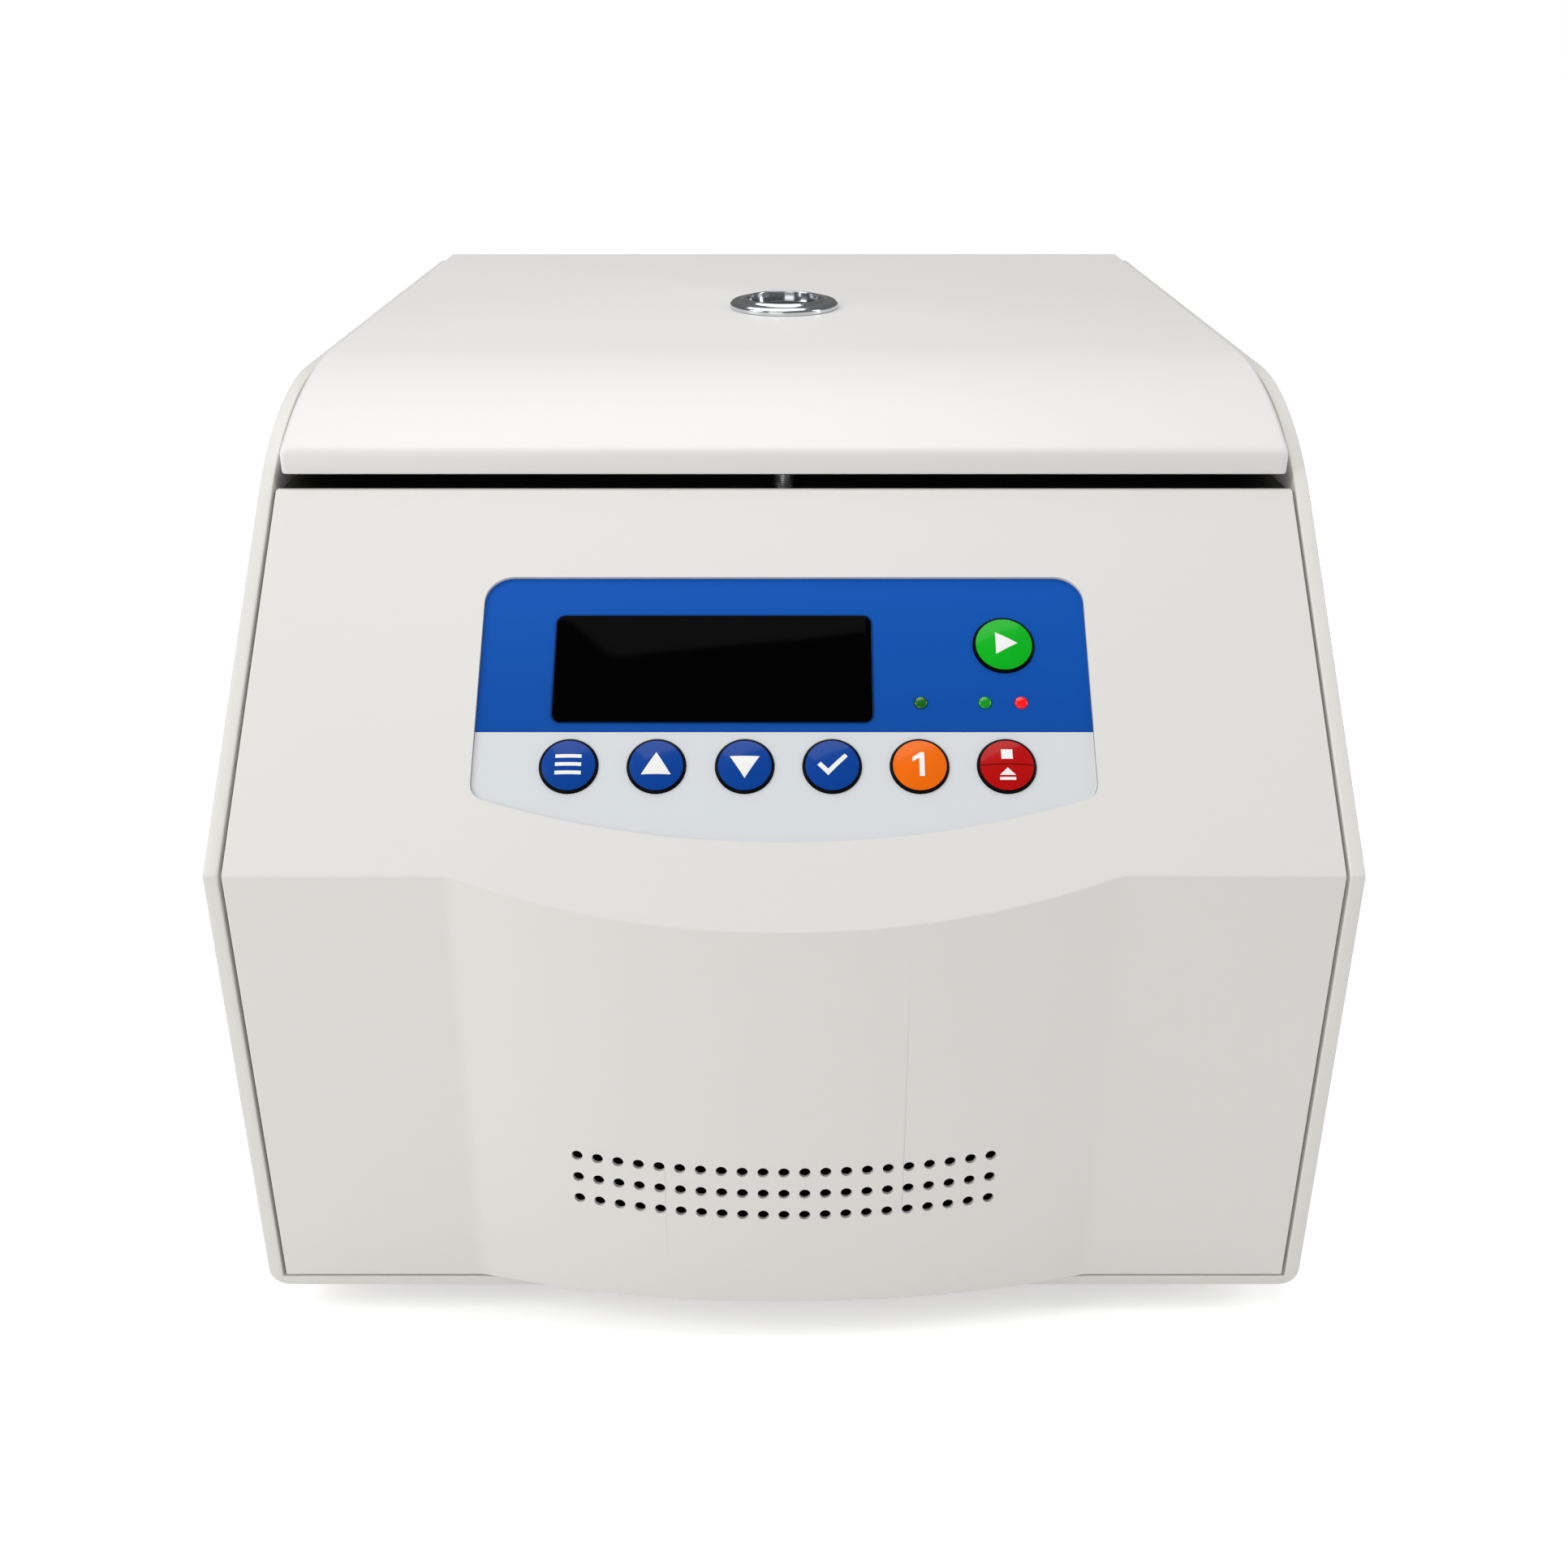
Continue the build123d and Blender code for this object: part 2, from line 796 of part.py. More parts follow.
def deck_rails():
    under = deck_top - deck_thickness
    rails = []
    for side in (-1, 1):
        wall = side * inner_half
        in_wall = side * (inner_half - rail_thickness)
        edge = side * (inner_half - rail_leg)
        front = deck_front + rail_setback
        leg = block(min(wall, in_wall), max(wall, in_wall), front, deck_rear, under - rail_leg, under)
        shelf = block(min(wall, edge), max(wall, edge), front, deck_rear, under - rail_thickness, under)
        rails.append(leg + shelf)
    return Part() + rails


# A spun bowl with a flat rim on the deck and a hub hole for the drive.
def chamber_bowl():
    inside = bowl_radius
    outside = bowl_radius + bowl_sheet
    cup = turned(0, outside, bowl_bottom - bowl_sheet, deck_top + bowl_sheet)
    cup = fillet(cup.edges().group_by(Axis.Z)[0], bowl_corner + bowl_sheet)
    hollow = turned(0, inside, bowl_bottom, deck_top + 5)
    hollow = fillet(hollow.edges().group_by(Axis.Z)[0], bowl_corner)
    rim = turned(inside, outside + bowl_flange, deck_top, deck_top + bowl_sheet)
    bowl = (cup - hollow) + rim
    bowl -= turned(0, bowl_hub_radius, bowl_bottom - 5, bowl_bottom + 5)
    return chamber * bowl


def chamber_seal():
    low = deck_top + bowl_sheet
    high = liner_bottom - seal_gap
    inner = bowl_radius + bowl_sheet + 1
    middle = (low + high) / 2
    points = [
        (inner, low),
        (inner + seal_width, low),
        (inner + seal_width, middle),
        (inner + seal_width * 0.75, high),
        (inner + seal_width * 0.25, high),
        (inner, middle),
    ]
    return chamber * spun(points)


def guard_ring():
    high = deck_top - deck_thickness - guard_top_gap
    return chamber * turned(guard_radius, guard_radius + guard_wall, high - guard_height, high)


def guard_posts():
    low = base_top
    high = deck_top - deck_thickness - guard_top_gap - guard_height
    circle = guard_radius + guard_wall / 2
    posts = []
    for turn in (45, 135, 225, 315):
        place = chamber * Pos(circle * cos(radians(turn)), circle * sin(radians(turn)), 0)
        posts.append(place * turned(0, guard_post_radius, low, high))
    return Part() + posts


def base_plate():
    half = inner_half - base_inset
    plate = block(-half, half, base_inset, back_inner - rear_flange, case_bottom, base_top)
    for x, y in foot_places():
        plate -= Pos(x, y, 0) * Cylinder(3 * foot_screw_radius, 10 * case_bottom)
    return plate


def rubber_feet():
    feet = []
    for x, y in foot_places():
        points = [
            (foot_screw_radius + fit_gap, 0),
            (foot_radius, 0),
            (foot_radius - 2.5, -foot_height + 1),
            (foot_radius - 3.5, -foot_height),
            (2.2 * foot_screw_radius, -foot_height),
            (2.2 * foot_screw_radius, -foot_height / 2),
            (foot_screw_radius + fit_gap, -foot_height / 2),
        ]
        feet.append(Pos(x, y, 0) * spun(points))
    return Part() + feet


def foot_screws():
    screws = []
    for x, y in foot_places():
        head = turned(0, 1.9 * foot_screw_radius, -foot_height / 2 - 3, -foot_height / 2)
        stem = turned(0, foot_screw_radius, -foot_height / 2, base_top)
        nut = turned(0, 1.8 * foot_screw_radius, case_bottom, base_top + 1)
        screws.append(Pos(x, y, 0) * (head + stem + nut))
    return Part() + screws


def isolator_places():
    return [
        chamber * Pos(isolator_circle * cos(radians(turn)), isolator_circle * sin(radians(turn)), 0)
        for turn in (30, 150, 270)
    ]


# Waisted rubber mounts between the base plate and the motor plate.
def motor_isolators():
    mounts = []
    middle = (base_top + motor_plate_bottom) / 2
    for place in isolator_places():
        points = [
            (0, base_top),
            (isolator_radius, base_top),
            (isolator_radius, base_top + 5),
            (isolator_radius - 3, middle),
            (isolator_radius, motor_plate_bottom - 5),
            (isolator_radius, motor_plate_bottom),
            (0, motor_plate_bottom),
        ]
        mounts.append(place * spun(points))
    return Part() + mounts


def motor_plate():
    return chamber * turned(motor_radius + 1, motor_plate_radius, motor_plate_bottom, motor_plate_top)


def drive_motor():
    body = turned(0, motor_radius, motor_plate_top - motor_lower_height, motor_top)
    body += turned(0, motor_flange_radius, motor_plate_top, motor_plate_top + motor_flange_thickness)
    body += turned(0, motor_nose_radius, motor_top, motor_top + motor_nose_height)
    fin_low = motor_plate_top + motor_flange_thickness + 6
    for number in range(5):
        low = fin_low + 9 * number
        body -= turned(motor_radius - 4, motor_radius + 1, low, low + 4)
    body -= turned(0, shaft_radius + fit_gap, motor_top, motor_top + motor_nose_height + 1)
    return chamber * body


# A soft sleeve from the motor's nose up to the hub of the bowl.
def motor_boot():
    low = motor_top
    high = bowl_bottom - bowl_sheet
    points = [
        (motor_nose_radius, low),
        (motor_nose_radius + boot_wall, low),
        (motor_nose_radius + boot_wall, low + 6),
        (bowl_hub_radius + 4, high - 2),
        (bowl_hub_radius + 4, high),
        (bowl_hub_radius, high),
        (motor_nose_radius, low + 6 + boot_wall),
    ]
    return chamber * spun(points)


def drive_shaft():
    cone_low = rotor_bottom - 4
    points = [
        (0, motor_top + fit_gap),
        (shaft_radius, motor_top + fit_gap),
        (shaft_radius, cone_low),
        (cone_base_radius, cone_low),
        (cone_top_radius, cone_low + cone_height),
        (stud_radius, cone_low + cone_height),
        (stud_radius, rotor_top + stud_reach),
        (0, rotor_top + stud_reach),
    ]
    return chamber * spun(points)


# Fixed-angle rotor: a tapered block with slanted tube bores and a conical seat for the shaft.
def rotor():
    band_low = rotor_bottom + rotor_foot_height
    points = [
        (0, rotor_bottom),
        (rotor_foot_radius, rotor_bottom),
        (rotor_radius, band_low),
        (rotor_radius, band_low + rotor_band_height),
        (rotor_top_radius, rotor_top),
        (0, rotor_top),
    ]
    body = spun(points)
    gap = rotor_bore_clearance
    cone_low = rotor_bottom - 4
    seat = [
        (0, cone_low),
        (cone_base_radius + gap, cone_low),
        (cone_top_radius + gap, cone_low + cone_height + gap),
        (stud_radius + gap, cone_low + cone_height + gap),
        (stud_radius + gap, rotor_top + 1),
        (0, rotor_top + 1),
    ]
    body -= spun(seat)
    tool = Pos(0, 0, -tube_depth) * Cylinder(
        tube_bore / 2, tube_depth + tube_bore, align=from_below
    )
    for number in range(tube_count):
        place = Rot(0, 0, 360 / tube_count * number) * Pos(tube_top_radius, 0, rotor_top)
        body -= place * Rot(0, -tube_angle, 0) * tool
    return chamber * body


def rotor_lid():
    low = rotor_top + rotor_lid_gap
    high = low + rotor_lid_thickness
    bore = stud_radius + 0.5
    points = [
        (bore, low),
        (rotor_top_radius, low),
        (rotor_top_radius, low + 2),
        (rotor_top_radius - 3, low + rotor_lid_thickness * 0.7),
        (knob_radius + 3, high),
        (bore, high),
    ]
    return chamber * spun(points)


def rotor_knob():
    low = rotor_top + rotor_lid_gap + rotor_lid_thickness
    knob = turned(0, knob_radius, low, low + knob_height)
    knob = chamfer(knob.edges().group_by(Axis.Z)[-1], 2)
    for number in range(knob_flutes):
        turn = radians(360 / knob_flutes * number)
        place = Pos((knob_radius + 1) * cos(turn), (knob_radius + 1) * sin(turn), low + 3)
        knob -= place * Cylinder(knob_flute_radius, knob_height, align=from_below)
    knob -= turned(0, stud_radius + 0.5, low - 1, rotor_top + stud_reach + 1)
    return chamber * knob


# The lock hangs under the deck, with a hole for the striker and a channel for the bolt.
def bolt_height():
    return deck_top - striker_below_deck + striker_head + striker_groove / 2


def lock_housing():
    top = deck_top - deck_thickness
    left = -lock_hole_radius - lock_wall
    front = max(striker_station - lock_body_depth / 2, deck_front)
    rear = striker_station + lock_body_depth / 2
    body = block(left, left + lock_body_width, front, rear, top - lock_body_height, top)
    body -= Pos(0, striker_station, top) * Cylinder(lock_hole_radius, 4 * lock_body_height)
    half = bolt_width / 2 + bolt_clearance
    thick = bolt_thickness / 2 + bolt_clearance
    end = striker_radius + bolt_draw + bolt_length + 1
    low = bolt_height() - thick
    body -= block(0, end, striker_station - half, striker_station + half, low, low + 2 * thick)
    return body


def lock_bolt():
    tip = striker_radius + bolt_draw
    low = bolt_height() - bolt_thickness / 2
    front = striker_station - bolt_width / 2
    slot = striker_station - bolt_slot / 2
    plate = block(tip, tip + bolt_length, front, front + bolt_width, low, low + bolt_thickness)
    return plate - block(tip - 1, tip + bolt_slot_depth, slot, slot + bolt_slot, 0, roof_height)


# The sheet that closes the back, with a slotted fan grille and cut-outs for the services.
def back_panel():
    half = inner_half - fit_gap
    plate = block(-half, half, back_inner, back_outer, case_bottom + fit_gap, back_top)
    rows = int(fan_ring_radius / grille_pitch)
    for number in range(-rows, rows + 1):
        offset = number * grille_pitch
        chord = sqrt(fan_ring_radius ** 2 - offset ** 2)
        slot = Rot(90, 0, 0) * extrude(SlotOverall(2 * chord, grille_slot), amount=20, both=True)
        plate -= Pos(fan_x, back_outer, fan_z + offset) * slot
    plate -= rear_cut(inlet_x, inlet_z, inlet_width / 2 + fit_gap, inlet_height / 2 + fit_gap, 4 * sheet)
    wide = rocker_width / 2 + rocker_wall + fit_gap
    tall = rocker_height / 2 + rocker_wall + fit_gap
    plate -= rear_cut(rocker_x, rocker_z, wide, tall, 4 * sheet)
    for x, z in rear_screw_places():
        plate -= Pos(x, back_outer, z) * Rot(90, 0, 0) * Cylinder(rear_screw_radius / 2 + fit_gap, 10 * sheet)
    return plate


# A box round a place on the back, reaching a depth in from it and a little out.
def rear_cut(x, z, wide, tall, depth):
    return block(x - wide, x + wide, back_outer - depth, back_outer + depth, z - tall, z + tall)


def rear_screw_places():
    x = inner_half - rear_flange / 2
    heights = (rear_screw_margin, back_top / 2, back_top - rear_screw_margin)
    return [(side * x, z) for side in (-1, 1) for z in heights]


def rear_screws():
    screws = []
    for x, z in rear_screw_places():
        head = Cylinder(rear_screw_radius, rear_screw_head, align=from_above)
        stem = Cylinder(rear_screw_radius / 2, sheet, align=from_below)
        screws.append(Pos(x, back_outer, z) * Rot(90, 0, 0) * (head + stem))
    return Part() + screws


def fan_frame():
    half = fan_size / 2
    low = back_inner - fan_depth
    frame = block(fan_x - half, fan_x + half, low, back_inner, fan_z - half, fan_z + half)
    frame = fillet(frame.edges().filter_by(Axis.Y), fan_corner)
    lying = Rot(90, 0, 0)
    frame -= Pos(fan_x, low, fan_z) * lying * Cylinder(fan_ring_radius, 4 * fan_depth)
    spider = Pos(fan_x, low + fan_arm / 2, fan_z)
    frame += spider * lying * Cylinder(fan_hub_radius, fan_arm)
    for turn in (45, 135):
        frame += spider * Rot(0, turn, 0) * Box(2 * fan_ring_radius + fan_arm, fan_arm, fan_arm)
    axle = Cylinder(fan_axle_radius, fan_depth * fan_axle_share, align=from_above)
    return frame + Pos(fan_x, low + fan_arm / 2, fan_z) * lying * axle


# Hub and pitched blades that turn inside the fan frame.
def fan_impeller():
    low = back_inner - fan_depth + fan_arm + fan_play
    high = back_inner - fan_front_gap
    wheel = Cylinder(fan_hub_radius, high - low)
    root = fan_hub_radius - fan_blade_thickness
    span = fan_blade_radius - root + fan_blade_thickness
    plate = Box(span, fan_blade_chord, fan_blade_thickness)
    blade = Pos(root + span / 2, 0, 0) * Rot(fan_blade_pitch, 0, 0) * plate
    for number in range(fan_blades):
        wheel += Rot(0, 0, 360 / fan_blades * (number + 0.5) + 90) * blade
    wheel &= Cylinder(fan_blade_radius, high - low)
    wheel -= Cylinder(fan_axle_radius + pivot_clearance, 4 * fan_depth)
    return Pos(fan_x, (low + high) / 2, fan_z) * Rot(90, 0, 0) * wheel


def socket_height_at():
    return inlet_z + inlet_height / 2 - socket_height / 2 - socket_margin


def fuse_height_at():
    return inlet_z - inlet_height / 2 + fuse_height / 2


# Socket for a mains lead, with room for the fuse drawer under its pins.
def power_inlet():
    half = inlet_width / 2
    tall = inlet_height / 2
    face = back_outer + inlet_face
    flange_low = inlet_z - tall - inlet_flange
    flange_high = inlet_z + tall + inlet_flange
    wide = half + inlet_flange
    rear = back_outer - inlet_depth
    body = block(inlet_x - half, inlet_x + half, rear, face, inlet_z - tall, inlet_z + tall)
    body += block(inlet_x - wide, inlet_x + wide, back_outer, face, flange_low, flange_high)
    middle = socket_height_at()
    left = inlet_x - socket_width / 2
    low = middle - socket_height / 2
    socket = block(left, left + socket_width, face - socket_depth, face + 1, low, low + socket_height)
    body -= chamfer(socket.edges().filter_by(Axis.Y).group_by(Axis.Z)[-1], socket_bevel)
    for x in (-pin_spacing, 0, pin_spacing):
        left = inlet_x + x - pin_width / 2
        low = middle - pin_height / 2
        root = face - socket_depth - 1
        body += block(left, left + pin_width, root, face - pin_setback, low, low + pin_height)
    return body - fuse_block(fuse_clearance)


# The fuse drawer's outside, grown by a clearance where room for it is wanted.
def fuse_block(grow):
    wide = fuse_width / 2 + grow
    tall = fuse_height / 2 + grow
    face = back_outer + inlet_face + 2 * grow
    rear = back_outer + inlet_face - fuse_length - grow
    middle = fuse_height_at()
    return block(inlet_x - wide, inlet_x + wide, rear, face, middle - tall, middle + tall)


def fuse_drawer():
    face = back_outer + inlet_face
    top = fuse_height_at() + fuse_height / 2
    left = inlet_x - fuse_notch / 2
    return fuse_block(0) - block(left, left + fuse_notch, face - 1, face + 1, top - 2, top + 2)


def switch_frame():
    wide = rocker_width / 2 + rocker_wall
    tall = rocker_height / 2 + rocker_wall
    rim_wide = wide + rocker_flange
    rim_tall = tall + rocker_flange
    face = back_outer + rocker_flange
    low = rocker_z - tall
    body = block(rocker_x - wide, rocker_x + wide, back_outer - rocker_depth, face, low, rocker_z + tall)
    low = rocker_z - rim_tall
    body += block(rocker_x - rim_wide, rocker_x + rim_wide, back_outer, face, low, low + 2 * rim_tall)
    room_wide = rocker_width / 2 + fit_gap
    room_tall = rocker_height / 2 + fit_gap
    body -= rear_cut(rocker_x, rocker_z, room_wide, room_tall, rocker_depth - rocker_wall)
    return body - pivot_bar(pivot_clearance)


# The pin that the rocker tips on, grown by a clearance for its bore.
def pivot_bar(grow):
    length = rocker_width + 2 * (pivot_reach + grow)
    place = Pos(rocker_x, back_outer - pivot_depth, rocker_z)
    return place * Rot(0, 90, 0) * Cylinder(pivot_radius + grow, length)


# The rocker stands tipped to its off side, on pivots inside the frame.
def power_rocker():
    half = rocker_height / 2 - rocker_play
    heel = half * rocker_taper
    dish = ThreePointArc((rocker_front, -half), (rocker_front - rocker_dip, 0), (rocker_front, half))
    rim = Polyline((rocker_front, half), (-rocker_back, heel), (-rocker_back, -heel), (rocker_front, -half))
    prism = extrude(Plane.YZ * make_face(dish.edges() + rim.edges()), amount=rocker_width / 2, both=True)
    pivot = Pos(rocker_x, back_outer - pivot_depth, rocker_z)
    return pivot * Rot(rocker_tilt, 0, 0) * Pos(0, pivot_depth, 0) * prism + pivot_bar(0)


def board_standoffs():
    pillars = []
    reach_x = board_width / 2 - standoff_inset
    reach_y = board_length / 2 - standoff_inset
    for x in (-reach_x, reach_x):
        for y in (-reach_y, reach_y):
            pillar = turned(0, standoff_radius, base_top, base_top + standoff_height)
            pillars.append(Pos(board_x + x, board_y + y, 0) * pillar)
    return Part() + pillars


# The power board with its two capacitors and a choke.
def power_board():
    low = base_top + standoff_height
    high = low + board_thickness
    half = board_width / 2
    deep = board_length / 2
    board = block(board_x - half, board_x + half, board_y - deep, board_y + deep, low, high)
    for side in (-0.5, 0.5):
        place = Pos(board_x + capacitor_offset + side * capacitor_spacing, board_y - capacitor_forward, 0)
        board += place * turned(0, capacitor_radius, high, high + capacitor_height)
    left = board_x + choke_offset - choke_width / 2
    front = board_y + choke_back - choke_depth / 2
    return board + block(left, left + choke_width, front, front + choke_depth, high, high + choke_height)


def heat_sink():
    low = base_top + standoff_height + board_thickness
    left = board_x + sink_offset - sink_width / 2
    front = board_y - sink_depth / 2
    sink = block(left, left + sink_width, front, front + sink_depth, low, low + sink_base)
    pitch = (sink_width - 2 * sink_fin) / (sink_fins - 1)
    for number in range(sink_fins):
        x = left + sink_fin / 2 + number * pitch
        sink += block(x, x + sink_fin, front, front + sink_depth, low, low + sink_height)
    return sink


pieces = {
    "outer_case": outer_case(),
    "front_panel": front_panel(),
    "keypad_upper_overlay": keypad_overlay(True),
    "keypad_lower_overlay": keypad_overlay(False),
    "display_window": display_window(),
    "display_module": display_module(),
    "keypad_board": keypad_board(),
    "key_switches": key_switches(),
    "lid_cover": lid_cover(),
    "lid_liner": lid_liner(),
    "sight_glass_bezel": sight_glass_bezel(),
    "sight_glass_window": sight_glass_window(),
    "striker_post": striker_post(),
    "hinge_arms": hinge_arms(),
    "hinge_brackets": hinge_brackets(),
    "hinge_pins": hinge_pins(),
    "hinge_beam": hinge_beam(),
    "top_deck": top_deck(),
    "deck_rails": deck_rails(),
    "chamber_bowl": chamber_bowl(),
    "chamber_seal": chamber_seal(),
    "guard_ring": guard_ring(),
    "guard_posts": guard_posts(),
    "base_plate": base_plate(),
    "rubber_feet": rubber_feet(),
    "foot_screws": foot_screws(),
    "motor_isolators": motor_isolators(),
    "motor_plate": motor_plate(),
    "drive_motor": drive_motor(),
    "motor_boot": motor_boot(),
    "drive_shaft": drive_shaft(),
    "rotor": rotor(),
    "rotor_lid": rotor_lid(),
    "rotor_knob": rotor_knob(),
    "lock_housing": lock_housing(),
    "lock_bolt": lock_bolt(),
    "back_panel": back_panel(),
    "rear_screws": rear_screws(),
    "fan_frame": fan_frame(),
    "fan_impeller": fan_impeller(),
    "power_inlet": power_inlet(),
    "fuse_drawer": fuse_drawer(),
    "switch_frame": switch_frame(),
    "power_rocker": power_rocker(),
    "board_standoffs": board_standoffs(),
    "power_board": power_board(),
    "heat_sink": heat_sink(),
}
for button_name, place_x, place_s, cap_diameter in button_places():
    pieces[button_name] = button(place_x, place_s, cap_diameter)
for lamp_name, place_x in zip(lamp_names, lamp_x):
    pieces[lamp_name] = status_lamp(place_x)

os.makedirs("parts", exist_ok=True)
for name, piece in pieces.items():
    export_step(machine_frame * piece, f"parts/{name}.step")
print(len(pieces), "pieces written")
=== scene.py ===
"""Dresses a bench centrifuge in its real finishes, around the fixed frame of its parts."""

import math

import bmesh
import bpy
from mathutils import Matrix, Vector


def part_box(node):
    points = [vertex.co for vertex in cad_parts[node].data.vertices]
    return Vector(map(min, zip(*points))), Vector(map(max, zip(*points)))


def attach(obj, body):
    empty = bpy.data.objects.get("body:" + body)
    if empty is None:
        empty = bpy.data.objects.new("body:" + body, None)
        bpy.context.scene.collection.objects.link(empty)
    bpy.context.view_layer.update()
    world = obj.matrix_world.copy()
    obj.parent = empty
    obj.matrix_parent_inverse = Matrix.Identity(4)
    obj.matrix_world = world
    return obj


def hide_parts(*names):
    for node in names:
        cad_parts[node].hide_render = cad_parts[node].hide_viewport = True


bl_info = {
    "name": "Bench centrifuge",
    "version": (1, 0, 0),
    "blender": (4, 5, 0),
    "location": "3D View > Sidebar > Centrifuge",
    "description": "Models and finishes a high-speed bench centrifuge around its frame",
    "category": "Object",
}

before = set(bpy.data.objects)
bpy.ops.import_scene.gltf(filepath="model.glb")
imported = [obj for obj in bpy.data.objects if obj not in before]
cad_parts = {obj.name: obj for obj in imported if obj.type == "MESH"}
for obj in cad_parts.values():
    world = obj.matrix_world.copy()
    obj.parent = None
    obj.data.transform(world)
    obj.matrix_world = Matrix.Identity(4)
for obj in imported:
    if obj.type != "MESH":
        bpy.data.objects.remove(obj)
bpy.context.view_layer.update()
MM = 0.001
CASE_LOW, CASE_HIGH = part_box("outer_case")
PANEL_LOW, PANEL_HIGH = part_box("front_panel")
LID_LOW, LID_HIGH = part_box("lid_cover")
FRONT = CASE_LOW.y
UNDERSIDE = CASE_LOW.z
X, Y, Z = range(3)

FOOT_RADIUS, FOOT_SCREW = 14 * MM, 3.3 * MM
# How far a tool reaches to both sides of the wall that it goes through.
THROUGH = 8 * MM
# Points that a bevel leaves closer together than this are merged.
STRAY_POINTS = 0.05 * MM
# A share of the full radius, so that a long bevel stops just short of the edges beside it.
JUST_UNDER = 0.9999


def linear(code):
    """An sRGB hex colour as the linear red, green, blue and alpha that shaders take."""
    parts = [int(code[i : i + 2], 16) / 255 for i in (1, 3, 5)]
    return [c / 12.92 if c <= 0.04045 else ((c + 0.055) / 1.055) ** 2.4 for c in parts] + [1.0]


def size_property(name, description, millimetres):
    return bpy.props.FloatProperty(
        name=name, description=description, default=millimetres * MM, unit="LENGTH", subtype="DISTANCE"
    )


def angle_property(name, description, degrees):
    return bpy.props.FloatProperty(
        name=name, description=description, default=math.radians(degrees), unit="ROTATION", subtype="ANGLE"
    )


def colour_property(name, description, code):
    return bpy.props.FloatVectorProperty(
        name=name, description=description, default=linear(code)[:3], subtype="COLOR", size=3, min=0, max=1
    )


class CentrifugeSizes(bpy.types.PropertyGroup):
    """Sizes of the shells and trim, counted from the middle of the front face at the case's underside."""

    case_wall: size_property("Case wall", "Thickness of the side walls", 5.0)
    case_bottom: size_property("Case bottom", "Thickness of the bottom", 4.0)
    case_corner: size_property("Case corner", "Radius of the two long lower corners", 7.0)
    shoulder: size_property("Shoulder", "Radius where the slope of the side walls turns into the roof", 125.0)
    knee: size_property("Knee height", "Height of the edge between lower face and slope", 171.2)
    slope: angle_property("Slope", "Angle of the control face from level", 42.4)
    roof_pitch: angle_property("Roof pitch", "Slight fall of the roof towards the front", 1.07)
    roof_height: size_property("Roof height", "Height of the lid's top over the station below", 306.9)
    roof_station: size_property("Roof station", "Where the roof height is measured, behind the front", 242.8)
    lid_proud: size_property("Lid proud", "How far the lid stands over the side walls", 5.0)
    panel_gap: size_property("Panel gap", "How much the shadow gap beside the panel is opened", 0.45)
    panel_wall: size_property("Panel wall", "Thickness of the front moulding", 3.5)
    panel_return: size_property("Panel return", "How far the front moulding turns back", 14.0)
    bulge_half_width: size_property("Bulge half width", "Half the width of the bowed middle", 110.6)
    bulge_depth: size_property("Bulge depth", "How far the middle bows forward", 14.3)
    bulge_blend: size_property("Bulge blend", "Radius of the hollow beside the bow", 18.0)
    edge_round: size_property("Edge round", "Radius of the moulded edges that catch the light", 0.6)
    vent_wall: size_property("Vent wall", "Thickness of the thinned wall round the vents", 1.3)
    vent_diameter: size_property("Vent diameter", "Diameter of each vent hole", 4.0)
    vent_pitch: size_property("Vent pitch", "Distance between vent holes in a row", 7.25)
    keypad_half_width: size_property("Keypad half width", "Half the width of the sunk keypad", 105.0)
    keypad_top: size_property("Keypad top", "Upper edge of the keypad, up the slope from the knee", 111.9)
    keypad_bottom: size_property("Keypad bottom", "Lowest point of the keypad, up the slope", 11.9)
    keypad_bow: size_property("Keypad bow", "Radius of the keypad's lower edge", 341.0)
    keypad_split: size_property("Keypad split", "Where the blue film meets the pale one", 52.4)
    keypad_recess: size_property("Keypad recess", "Depth of the keypad's bed", 2.0)
    film: size_property("Film", "Thickness of the keypad films", 0.8)
    lip_height: size_property("Lip height", "Height of the lid's upright front lip", 8.6)
    lip_corner: size_property("Lip corner", "Radius over the lid's lip", 4.0)
    lid_front_angle: angle_property("Lid front angle", "Slope of the lid just behind its lip", 27.0)
    lid_front_radius: size_property("Lid front radius", "Radius of the lid's big front curve", 182.0)
    lid_wall: size_property("Lid wall", "Thickness of the lid's shell", 3.0)
    lid_edge: size_property("Lid edge", "Radius along the lid's two long edges", 2.5)
    bowl_radius: size_property("Bowl radius", "Inner radius of the chamber bowl", 120.0)
    # Painted shade: the black ring round each key stands in for the dark gap between key and film.
    gap_shade_ring_width: size_property("Key rim width", "Width of the black rim round each key", 0.75)


class CentrifugeColours(bpy.types.PropertyGroup):
    """Colours of the finishes."""

    case: colour_property("Case", "Powder coat on the case", "#e3e1dc")
    panel: colour_property("Front panel", "Moulded front panel", "#e4e2de")
    lid: colour_property("Lid", "Moulded lid", "#eae9e7")
    film_blue: colour_property("Blue film", "Upper part of the keypad", "#1153ae")
    film_pale: colour_property("Pale film", "Lower part of the keypad", "#d9dde0")
    key_blue: colour_property("Blue keys", "Set, arrow and confirm keys", "#004098")
    key_green: colour_property("Green key", "Start key", "#01b41c")
    key_orange: colour_property("Orange key", "Preset key", "#f26d00")
    key_red: colour_property("Red key", "Stop key", "#b80202")
    floor: colour_property("Floor", "Pale studio floor", "#f7f7f6")


def sizes():
    return bpy.context.scene.centrifuge_sizes


def colours():
    return bpy.context.scene.centrifuge_colours


# Places. Stations are distances behind the front face, and heights are above the case's underside.


def at(x, station, height):
    return Vector((x, FRONT + station, UNDERSIDE + height))


def tilted(angle):
    """The upward normal of a plane that rises to the rear by an angle."""
    return 0, -math.sin(angle), math.cos(angle)


